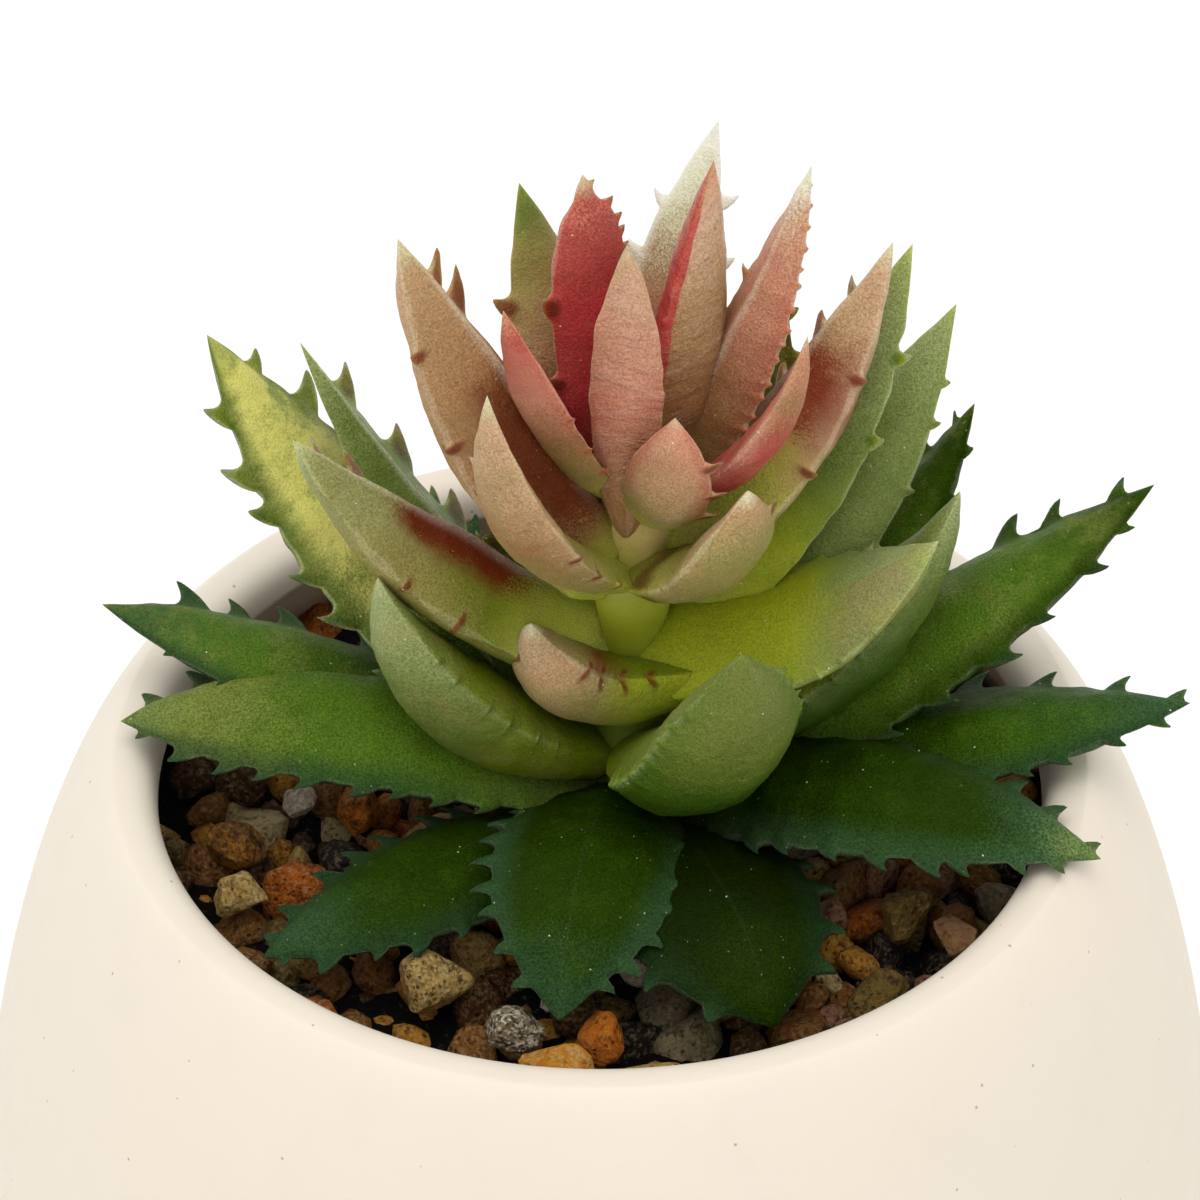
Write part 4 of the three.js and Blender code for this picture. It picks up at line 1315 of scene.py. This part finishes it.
def gravel_obstacles():
    """Balls that the small stones keep clear of: large stones, low leaves and the stem."""
    balls = [(stone.x, stone.y, stone.z, LARGE_STONE_SHARE * (stone.length + stone.width))
             for stone in LARGE_STONES.values()]
    for leaf in (*LEAF_TIERS["skirt"], *LEAF_TIERS["lower"]):
        spine, _, _, _ = leaf_spine(leaf, LEAF_STATIONS)
        for centre, share in zip(spine, leaf_share(leaf, LEAF_STATIONS)):
            balls.append((*centre, leaf.width * leaf.thickness * 0.5 * share + LEAF_CLEARANCE))
    stem = bpy.context.scene.succulent_stem
    for z in STEM_BALL_HEIGHTS:
        balls.append((stem.centre_x / MM, 0.0, z, stem.collar_radius / MM))
    return np.array(balls)


def push_apart(places, others, touching, push):
    """Moves each place away from the others that are nearer to it than the touching distance."""
    gap = places[:, None] - others[None]
    apart = np.linalg.norm(gap, axis=2) + NO_DISTANCE
    overlap = np.clip(touching - apart, 0, None)
    places += push * (gap / apart[..., None] * overlap[..., None]).sum(axis=1)


def settle_gravel(filling):
    """Places and radii of small stones in millimetres, pushed apart until they pack."""
    pot = bpy.context.scene.succulent_pot
    rng = np.random.default_rng(filling.seed)
    count = filling.stone_count
    radii = np.clip(rng.lognormal(math.log(MEDIAN_RADIUS), RADIUS_SPREAD, count), *RADIUS_LIMITS)
    turn = rng.uniform(0, 2 * math.pi, count)
    out = POUR_RADIUS * np.sqrt(rng.uniform(0, 1, count))
    places = np.stack([out * np.cos(turn), out * np.sin(turn), rng.uniform(*POUR_HEIGHTS, count)],
                      axis=1)
    balls = gravel_obstacles()
    between_stones = (radii[:, None] + radii[None]) * STONE_TOUCH
    to_obstacles = radii[:, None] * OBSTACLE_TOUCH + balls[None, :, 3]
    wall = np.array([pot_inner_radius(pot, z * MM) / MM for z in WALL_HEIGHTS])
    top = filling.stone_top / MM
    for _ in range(PACKING_ROUNDS):
        push_apart(places, places, between_stones, STONE_PUSH)
        push_apart(places, balls[:, :3], to_obstacles, OBSTACLE_PUSH)
        places[:, 2] -= SINKING
        places[:, 2] = np.clip(places[:, 2], PACKING_FLOOR + radii * FLOOR_TOUCH, top - radii)
        limit = np.interp(places[:, 2], WALL_HEIGHTS, wall) - radii * WALL_TOUCH
        out = np.hypot(places[:, 0], places[:, 1])
        places[:, :2] *= np.minimum(1, limit / np.maximum(out, NO_DISTANCE))[:, None]
    return places, radii, rng


# The grit under the stones
GRIT_BOTTOM = 62.1 * MM
GRIT_GAP = 0.6 * MM
GRIT_RIM_GAP = 0.4 * MM
GRIT_EDGE = 0.6 * MM
GRIT_OUTER_SHARE = 0.99
GRIT_RINGS = 60
GRIT_SEGMENTS = 160
GRIT_RELIEF = 0.3 * MM
GRIT_RELIEF_LENGTH = 4 * MM
GRIT_SEED = 5
TOP_MARGIN = 0.1 * MM

SMALL_ROCK_SEED = 100
SMALL_ROCK_DETAIL = 2
SMALL_ROCK_SIZES = ((1.0, 0.78, 0.68), (1.25, 1.0, 0.9))
LARGE_ROCK_SEED = 300
LARGE_ROCK_DETAIL = 5


def dress_soil(filling):
    """Gives the CAD soil its peaty material."""
    soil = frame["nodes"]["soil"]
    soil.data.materials.clear()
    soil.data.materials.append(earth_material("peaty_soil", tuple(filling.soil)))


def make_grit(filling, pot):
    """The disc of near-black grit under the stones, whose colour paints the deep shade between them."""
    high = filling.ground_height
    rim = pot_inner_radius(pot, high) - GRIT_RIM_GAP
    profile = [[0.0, GRIT_BOTTOM], [pot_inner_radius(pot, GRIT_BOTTOM) - GRIT_GAP, GRIT_BOTTOM],
               [rim, high - GRIT_EDGE]]
    profile += [[rim * share, high] for share in np.linspace(GRIT_OUTER_SHARE, 0.0, GRIT_RINGS)]
    grit = turn_profile("gravel_grit", profile, GRIT_SEGMENTS,
                        earth_material("dark_grit", tuple(filling.ground)))
    points = read_points(grit.data)
    top = points[:, 2] > high - TOP_MARGIN
    points[top, 2] += GRIT_RELIEF * ripple(points[top], GRIT_RELIEF_LENGTH, GRIT_SEED)
    move_points(grit.data, points)
    hand_over(grit, ["gravel_bed"])


def make_small_stones(filling):
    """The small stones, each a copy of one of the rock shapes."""
    collection = bpy.context.scene.collection
    places, radii, rng = settle_gravel(filling)
    shades = rng.choice(len(GRAVEL_SHADES), len(radii), p=GRAVEL_SHARES)
    host = add_object("gravel_points", places * MM, [], None, {
        "radius": radii * MM, "tone": (shades + 0.5) / len(GRAVEL_SHADES)})
    shapes = bpy.data.collections.new("rock_shapes")
    collection.children.link(shapes)
    for place in range(ROCK_SHAPES):
        points, faces = rock_form(SMALL_ROCK_SEED + place, SMALL_ROCK_DETAIL)
        points = points * rng.uniform(*SMALL_ROCK_SIZES)
        rock = add_object(f"rock_shape_{place:02d}", points, faces, None)
        collection.objects.unlink(rock)
        shapes.objects.link(rock)
    stones = scattering_tree().apply("gravel_stones", host, {
        "Rocks": shapes, "Rock Count": ROCK_SHAPES, "Stone Size": filling.stone_size,
        "Seed": filling.seed, "Material": gravel_material()})
    for rock in list(shapes.objects):
        bpy.data.objects.remove(rock)
    bpy.data.collections.remove(shapes)
    hand_over(stones, ["gravel_bed"])


class SUCCULENT_OT_make_filling(Operator):
    """Make the soil, the near-black grit that paints the shade between the stones, and the small stones
    """
    bl_idname = "succulent.make_filling"
    bl_label = "Make Filling"

    def execute(self, context):
        filling = context.scene.succulent_filling
        dress_soil(filling)
        make_grit(filling, context.scene.succulent_pot)
        make_small_stones(filling)
        return {"FINISHED"}


class SUCCULENT_OT_make_large_stones(Operator):
    """Make the twelve larger stones that lie on the filling"""
    bl_idname = "succulent.make_large_stones"
    bl_label = "Make Large Stones"

    def execute(self, context):
        for place, (node, stone) in enumerate(LARGE_STONES.items()):
            points, faces = rock_form(LARGE_ROCK_SEED + place, LARGE_ROCK_DETAIL)
            points = points * np.array([stone.length, stone.width, stone.height]) / 2
            turn = math.radians(stone.turn)
            spin = np.array([[math.cos(turn), math.sin(turn), 0],
                             [-math.sin(turn), math.cos(turn), 0], [0, 0, 1]])
            points = points @ spin + np.array([stone.x, stone.y, stone.z])
            piece = add_object(node + "_rock", points * MM, faces,
                               large_stone_material(node + "_surface", stone))
            hand_over(piece, [node])
        return {"FINISHED"}


# ---------------------------------------------------------------------------
# Stem and leaves
# ---------------------------------------------------------------------------

# The stem: its collars, its domed top and how finely it is turned
COLLAR_HEIGHTS = (75.5, 80.5, 87.5, 95.0, 101.5)
COLLAR_HALF_HEIGHT = 2.4
STEM_DOME = 3 * MM
STEM_STEPS = 150
STEM_SEGMENTS = 40
STEM_FOOT_POINT = 0.1 * MM
STEM_LAST_RING = 0.6 * MM
STEM_TOP_POINT = 0.5 * MM


class SUCCULENT_OT_make_stem(Operator):
    """Make the upright stem with a collar at each tier of leaves"""
    bl_idname = "succulent.make_stem"
    bl_label = "Make Stem"

    def execute(self, context):
        stem = context.scene.succulent_stem
        profile = [[0.0, stem.foot - STEM_FOOT_POINT]]
        for z in np.linspace(stem.foot, stem.top - STEM_LAST_RING, STEM_STEPS):
            swell = sum(math.exp(-((z / MM - collar) / COLLAR_HALF_HEIGHT) ** 2)
                        for collar in COLLAR_HEIGHTS)
            radius = stem.radius + (stem.collar_radius - stem.radius) * min(1.0, swell)
            closing = min(1.0, (stem.top - z) / STEM_DOME)
            profile.append([radius * math.sqrt(1 - (1 - closing) ** 2), z])
        profile.append([0.0, stem.top - STEM_TOP_POINT])
        piece = turn_profile("stem_core", profile, STEM_SEGMENTS, stem_material())
        move_points(piece.data, read_points(piece.data) + (stem.centre_x, 0.0, 0.0))
        hand_over(piece, ["stem"])
        return {"FINISHED"}


# Places along a leaf, as shares of its length
NIB_STEP = 0.05
TOOTH_PLACE_PLAY = 0.015

# Shares of a leaf's half width or thickness, and the powers that shape its section
NIB_SHARE = 0.32
LEAST_ROOT_SHARE = 0.02
CREST_SHARE = 0.05
RIDGE_HEIGHT = 1.06
RIDGE_ROUND = 0.0036
DOME_POWER = 0.75
DEPTH_POWER = 0.9
MARGIN_CROWDING = 0.25
TOOTH_WEB = 0.17
TOOTH_WEB_POWER = 2.6
STAIN_START = 0.8
STAIN_RUN = 0.12

# Millimetres
ROOT_DEPTH = 4.2
MARGIN_WAVE = 0.12
MARGIN_WAVE_LENGTHS = (3.1, 2.7)
FULL_WAVE_WIDTH = 11
SWELL_HEIGHTS = (0.1, 0.03)
SWELL_LENGTHS = (5.0, 1.6)
FULL_SWELL_DEPTH = 3

# Teeth: play in spacing, length and breadth, how they shrink where the leaf is narrow, and form
SPACING_PLAY = 0.22
LENGTH_PLAY = (0.75, 1.2)
BREADTH_PLAY = (0.85, 1.15)
FULL_TOOTH_SHARE = 0.55
TOOTH_POWER = 0.85
TOOTH_LIFT = 0.12
TOOTH_THINNING = 0.35

STATION_LIMITS = (90, 250)
AT_MARGIN = 1e-6


def leaf_share(leaf, s):
    """The leaf's width at each place along it, as a share of its greatest."""
    s = np.clip(s, 0, 1)
    swell = 1 - (1 - leaf.root_share) * (1 - np.minimum(s, leaf.widest) / leaf.widest) ** 2
    past = np.clip((s - leaf.widest) / (1 - leaf.widest), 0, 1)
    share = swell * (1 - past ** leaf.taper)
    if leaf.shoulder < 1:
        over = np.clip((s - leaf.shoulder) / NIB_STEP, 0, 1)
        nib = NIB_SHARE * (1 - np.clip((s - leaf.shoulder) / (1 - leaf.shoulder), 0, 1) ** 2)
        share = share * (1 - over) + np.minimum(share, nib) * over
    return share


def leaf_spine(leaf, s):
    """Centres, tangents, across and lift directions at places s, in millimetres."""
    stem = bpy.context.scene.succulent_stem
    settings = bpy.context.scene.succulent_leaf
    azimuth = math.radians(leaf.direction)
    outward = np.array([math.cos(azimuth), math.sin(azimuth), 0.0])
    axis = np.array([stem.centre_x / MM, 0.0, 0.0])
    rooting = azimuth + math.radians(leaf.root_turn)
    root = axis + np.array([math.cos(rooting), math.sin(rooting), 0.0]) * settings.root_radius / MM
    root[2] = leaf.root_height
    tip = axis + outward * leaf.reach + (0, 0, leaf.tip_height)
    chord = (tip - root) / np.linalg.norm(tip - root)
    side = np.cross([0, 0, 1], chord)
    side /= np.linalg.norm(side)
    up = np.cross(chord, side)
    bend = (root + tip) / 2 + 2 * (leaf.bow * up + leaf.sway * side)
    s = np.asarray(s)[:, None]
    centre = (1 - s) ** 2 * root + 2 * s * (1 - s) * bend + s * s * tip
    tangent = 2 * (1 - s) * (bend - root) + 2 * s * (tip - bend)
    tangent /= np.linalg.norm(tangent, axis=1)[:, None]
    across = side - tangent * (tangent @ side)[:, None]
    across /= np.linalg.norm(across, axis=1)[:, None]
    normal = np.cross(tangent, across)
    roll = math.radians(leaf.roll)
    lift = normal * math.cos(roll) - across * math.sin(roll)
    return centre, tangent, across * math.cos(roll) + normal * math.sin(roll), lift


def tooth_row(teeth, travel, share, rng):
    """How far the margin stands out at each place, and the tooth length there."""
    total = travel[-1]
    stand, tall = np.zeros_like(travel), np.full_like(travel, teeth.size)
    if teeth.places:
        centres = [total * (place + rng.uniform(-TOOTH_PLACE_PLAY, TOOTH_PLACE_PLAY))
                   for place in teeth.places]
    else:
        pace = teeth.spacing
        first = total * teeth.start + rng.uniform(0, 0.5) * pace
        centres = [place + rng.uniform(-SPACING_PLAY, SPACING_PLAY) * pace
                   for place in np.arange(first, total * teeth.end, pace)]
    for place in centres:
        local = np.interp(place, travel, share)
        narrowing = 0.5 + 0.5 * min(1.0, local / FULL_TOOTH_SHARE)
        size = teeth.size * rng.uniform(*LENGTH_PLAY) * narrowing
        reach = size * teeth.breadth * rng.uniform(*BREADTH_PLAY)
        away = np.clip(np.abs(travel - place) / reach, 0, 1)
        bump = size * (0.5 + 0.5 * np.cos(math.pi * away)) ** TOOTH_POWER
        bump[away >= 1] = 0
        tall = np.where(bump > stand, size, tall)
        stand = np.maximum(stand, bump)
    return stand, tall


def bell(x):
    return np.exp(-x * x)


def ridge(u, shift):
    """A roof over the leaf's width, with a rounded ridge off the middle by a share of the width."""
    away = np.where(u > shift, (u - shift) / (1 - shift), (shift - u) / (1 + shift))
    return np.clip(RIDGE_HEIGHT - np.sqrt(away * away + RIDGE_ROUND), 0, None)


def leaf_section(leaf, ring):
    """For the points round a leaf: shares of half width and thickness, face and nearness to a ridge.

    The face is 1 on the inner face, 0 on the outer one and 0.5 on the margins.
    """
    theta = np.arange(ring) / ring * 2 * math.pi
    theta = theta - MARGIN_CROWDING * np.sin(2 * theta)
    u = np.cos(theta)
    above, below = np.sin(theta) > AT_MARGIN, np.sin(theta) < -AT_MARGIN

    def by_face(inner, outer, margin):
        return np.where(above, inner, np.where(below, outer, margin))

    domed = (1 - np.minimum(u * u, 1)) ** DOME_POWER
    front = (1 - leaf.keel) * domed + leaf.keel * ridge(u, leaf.keel_shift)
    back = (1 - leaf.back_keel) * domed + leaf.back_keel * ridge(u, leaf.back_keel_shift)
    rise = by_face(leaf.upper_share * front, (leaf.upper_share - 1) * back, 0.0)
    # Nearness to the ridges, where the material paints a highlight
    crest = by_face(leaf.keel * bell((u - leaf.keel_shift) / CREST_SHARE),
                    leaf.back_keel * bell((u - leaf.back_keel_shift) / CREST_SHARE), 0.0)
    return u, rise, by_face(1.0, 0.0, 0.5), crest


def leaf_teeth(leaf, u, travel, share, rng):
    """How far the teeth stand out and lean forward, their share of a whole tooth, and their colour."""
    left_stand, left_tall = tooth_row(leaf.left, travel, share, rng)
    right_stand, right_tall = tooth_row(leaf.right, travel, share, rng)
    on_left = u > 0
    stand = np.where(on_left, left_stand[:, None], right_stand[:, None])
    tall = np.where(on_left, left_tall[:, None], right_tall[:, None])
    hook = np.where(on_left, leaf.left.hook, leaf.right.hook)
    stain = np.where(on_left, leaf.left.stain, leaf.right.stain)
    out = stand * np.clip(1 - (1 - np.abs(u)) / TOOTH_WEB, 0, 1) ** TOOTH_WEB_POWER
    painted = stand / tall * stain * np.clip((np.abs(u) - STAIN_START) / STAIN_RUN, 0, 1)
    return out, hook * out * out / tall, out / tall, np.maximum(out / tall, painted)


def margin_waves(leaf, u, travel, share, seed):
    """The slight waviness of the margins."""
    line = np.stack([travel, travel * 0, travel * 0], 1)
    left, right = (MARGIN_WAVE * ripple(line, wavelength, seed + order)
                   for order, wavelength in enumerate(MARGIN_WAVE_LENGTHS, start=1))
    wave = np.where(u > 0, left[:, None], right[:, None]) * np.abs(u) ** 4
    return wave * np.clip(share * 2, 0, 1)[:, None] * min(1.0, leaf.width / FULL_WAVE_WIDTH)


def leaf_faces(stations, ring):
    """Quads along a leaf and fans that close it, on the root's and tip's middles, its last points."""
    i, j = np.meshgrid(np.arange(stations - 1), np.arange(ring), indexing="ij")
    a, b = i * ring + j, i * ring + (j + 1) % ring
    faces = np.stack([a, b, b + ring, a + ring], axis=-1).reshape(-1, 4).tolist()
    last = (stations - 1) * ring
    root, tip = stations * ring, stations * ring + 1
    for k in range(ring):
        after = (k + 1) % ring
        faces.append([root, after, k])
        faces.append([last + k, last + after, tip])
    return faces


def leaf_form(leaf, seed, settings):
    """Points in millimetres, faces and attributes of one leaf."""
    ring = settings.ring
    coarse, _, _, _ = leaf_spine(leaf, np.linspace(0, 1, 30))
    run = np.linalg.norm(np.diff(coarse, axis=0), axis=1).sum()
    stations = int(np.clip(run / (settings.step / MM), *STATION_LIMITS))
    s = np.linspace(-ROOT_DEPTH / run, 1, stations, endpoint=False)
    centre, tangent, across, lift = leaf_spine(leaf, s)
    travel = np.concatenate([[0], np.cumsum(np.linalg.norm(np.diff(centre, axis=0), axis=1))])
    emerging = np.clip((s * run + ROOT_DEPTH) / ROOT_DEPTH, LEAST_ROOT_SHARE, 1)
    share = leaf_share(leaf, s) * np.sqrt(emerging)
    half = leaf.width / 2 * share
    depth = leaf.width * leaf.thickness * share ** DEPTH_POWER

    u, rise, upper, crest = leaf_section(leaf, ring)
    out, forward, whole, tooth = leaf_teeth(leaf, u, travel, share, np.random.default_rng(seed))
    sideways = half[:, None] * u + np.sign(u) * (out + margin_waves(leaf, u, travel, share, seed))
    upward = depth[:, None] * rise * (1 - TOOTH_THINNING * whole) + TOOTH_LIFT * out
    points = (centre[:, None] + across[:, None] * sideways[..., None]
              + lift[:, None] * upward[..., None] + tangent[:, None] * forward[..., None])
    swell = sum(height * ripple(points, wavelength, seed + order) for order, (height, wavelength)
                in enumerate(zip(SWELL_HEIGHTS, SWELL_LENGTHS), start=3))
    swell = swell * np.clip(depth / FULL_SWELL_DEPTH, 0, 1)[:, None] * np.sign(rise)
    points = points + lift[:, None] * swell[..., None]
    tip, _, _, _ = leaf_spine(leaf, [1.0])

    def spread(values, at_root, at_tip):
        return np.concatenate([np.broadcast_to(values, (stations, ring)).ravel(), [at_root, at_tip]])

    attributes = {
        "along": spread(np.clip(s, 0, 1)[:, None], 0, 1),
        "across": spread(u, 0, 0),
        "upper": spread(upper, 0.5, 0.5),
        "tooth": spread(tooth, 0, 0),
        "crest": spread(crest, 0, 0),
    }
    points = np.concatenate([points.reshape(-1, 3), centre[:1], tip])
    return points, leaf_faces(stations, ring), attributes


class SUCCULENT_OT_make_leaves(Operator):
    """Make all leaves of one tier"""
    bl_idname = "succulent.make_leaves"
    bl_label = "Make Leaves"
    tier: StringProperty(name="Tier", description="Which ring of leaves to make", default="crown")

    def execute(self, context):
        settings = context.scene.succulent_leaf
        if self.tier not in LEAF_TIERS:
            raise ValueError(f"no tier named {self.tier}")
        first = settings.seed + 100 * list(LEAF_TIERS).index(self.tier)
        for place, leaf in enumerate(LEAF_TIERS[self.tier], start=1):
            points, faces, attributes = leaf_form(leaf, first + place, settings)
            name = f"leaf_{self.tier}_{place}"
            finish = "leaf_finish_" + leaf.look
            material = bpy.data.materials.get(finish) or leaf_material(finish, LOOKS[leaf.look])
            piece = add_object(name + "_blade", points * MM, faces, material, attributes)
            hand_over(piece, [name])
        return {"FINISHED"}


# ---------------------------------------------------------------------------
# Stage
# ---------------------------------------------------------------------------

# The softboxes' places and sides and the camera's clipping, in metres
TOP_BOX_PLACE = (-0.08, -0.16, 0.95)
TOP_BOX_SIDE = 0.7
FRONT_BOX_PLACE = (0.25, -0.95, 0.6)
FRONT_BOX_SIDE = 0.8
CLIP_START = 0.01
CLIP_END = 50.0
WHITE = (1.0, 1.0, 1.0, 1.0)


def add_softbox(name, place, target, side, power):
    """A square white lamp that points at the target."""
    lamp = bpy.data.lights.new(name, "AREA")
    lamp.shape = "SQUARE"
    lamp.size = side
    lamp.energy = power
    holder = bpy.data.objects.new(name, lamp)
    holder.location = place
    holder.rotation_euler = (Vector(target) - Vector(place)).to_track_quat("-Z", "Y").to_euler()
    bpy.context.scene.collection.objects.link(holder)


class SUCCULENT_OT_make_stage(Operator):
    """Make the pale floor, the soft light and the camera"""
    bl_idname = "succulent.make_stage"
    bl_label = "Make Stage"

    def execute(self, context):
        stage = context.scene.succulent_stage
        half = stage.floor_size / 2
        corners = [(-half, -half, 0), (half, -half, 0), (half, half, 0), (-half, half, 0)]
        add_object("stage_floor", corners, [(0, 1, 2, 3)], floor_material(), smooth=False)

        world = bpy.data.worlds.new("even_light")
        world.use_nodes = True
        backdrop = world.node_tree.nodes["Background"]
        backdrop.inputs["Color"].default_value = WHITE
        backdrop.inputs["Strength"].default_value = stage.sky
        context.scene.world = world
        target = (0.0, 0.0, stage.target_height)
        add_softbox("top_softbox", TOP_BOX_PLACE, target, TOP_BOX_SIDE, stage.top_power)
        add_softbox("front_softbox", FRONT_BOX_PLACE, target, FRONT_BOX_SIDE, stage.front_power)

        lens = bpy.data.cameras.new("photo_camera")
        lens.lens = stage.focal_length
        lens.clip_start = CLIP_START
        lens.clip_end = CLIP_END
        camera = bpy.data.objects.new("photo_camera", lens)
        camera.location = (0.0, -stage.distance * math.cos(stage.elevation),
                           stage.target_height + stage.distance * math.sin(stage.elevation))
        camera.rotation_euler = (math.pi / 2 - stage.elevation, 0.0, 0.0)
        context.scene.collection.objects.link(camera)
        context.scene.camera = camera
        context.scene.view_settings.view_transform = "Standard"
        return {"FINISHED"}


# ---------------------------------------------------------------------------
# Panel and registration
# ---------------------------------------------------------------------------

class SUCCULENT_PT_panel(Panel):
    bl_idname = "SUCCULENT_PT_panel"
    bl_label = "Potted Succulent"
    bl_space_type = "VIEW_3D"
    bl_region_type = "UI"
    bl_category = "Succulent"

    def draw(self, context):
        layout = self.layout
        for operator in (SUCCULENT_OT_make_stage, SUCCULENT_OT_make_pot, SUCCULENT_OT_make_filling,
                         SUCCULENT_OT_make_large_stones, SUCCULENT_OT_make_stem):
            layout.operator(operator.bl_idname)
        for tier in LEAF_TIERS:
            row = layout.operator(SUCCULENT_OT_make_leaves.bl_idname, text=f"Make {tier.title()} Leaves")
            row.tier = tier
        for key in SETTINGS:
            box = layout.box()
            group = getattr(context.scene, key)
            for name in group.bl_rna.properties.keys():
                if name not in ("rna_type", "name"):
                    box.prop(group, name)


SETTINGS = {
    "succulent_pot": PotSettings,
    "succulent_filling": FillingSettings,
    "succulent_stem": StemSettings,
    "succulent_leaf": LeafSettings,
    "succulent_leaf_colours": LeafColours,
    "succulent_stage": StageSettings,
}
OPERATORS = (SUCCULENT_OT_make_stage, SUCCULENT_OT_make_pot, SUCCULENT_OT_make_filling,
             SUCCULENT_OT_make_large_stones, SUCCULENT_OT_make_stem, SUCCULENT_OT_make_leaves)


def register():
    for group in SETTINGS.values():
        bpy.utils.register_class(group)
    for operator in (*OPERATORS, SUCCULENT_PT_panel):
        bpy.utils.register_class(operator)
    for key, group in SETTINGS.items():
        setattr(bpy.types.Scene, key, PointerProperty(type=group))


def unregister():
    for key in SETTINGS:
        delattr(bpy.types.Scene, key)
    for operator in reversed((*OPERATORS, SUCCULENT_PT_panel)):
        bpy.utils.unregister_class(operator)
    for group in reversed(list(SETTINGS.values())):
        bpy.utils.unregister_class(group)


def main():
    register()
    bpy.ops.succulent.make_stage()
    bpy.ops.succulent.make_pot()
    bpy.ops.succulent.make_filling()
    bpy.ops.succulent.make_large_stones()
    bpy.ops.succulent.make_stem()
    for tier in LEAF_TIERS:
        bpy.ops.succulent.make_leaves(tier=tier)
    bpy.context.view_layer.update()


if __name__ == "__main__":
    main()
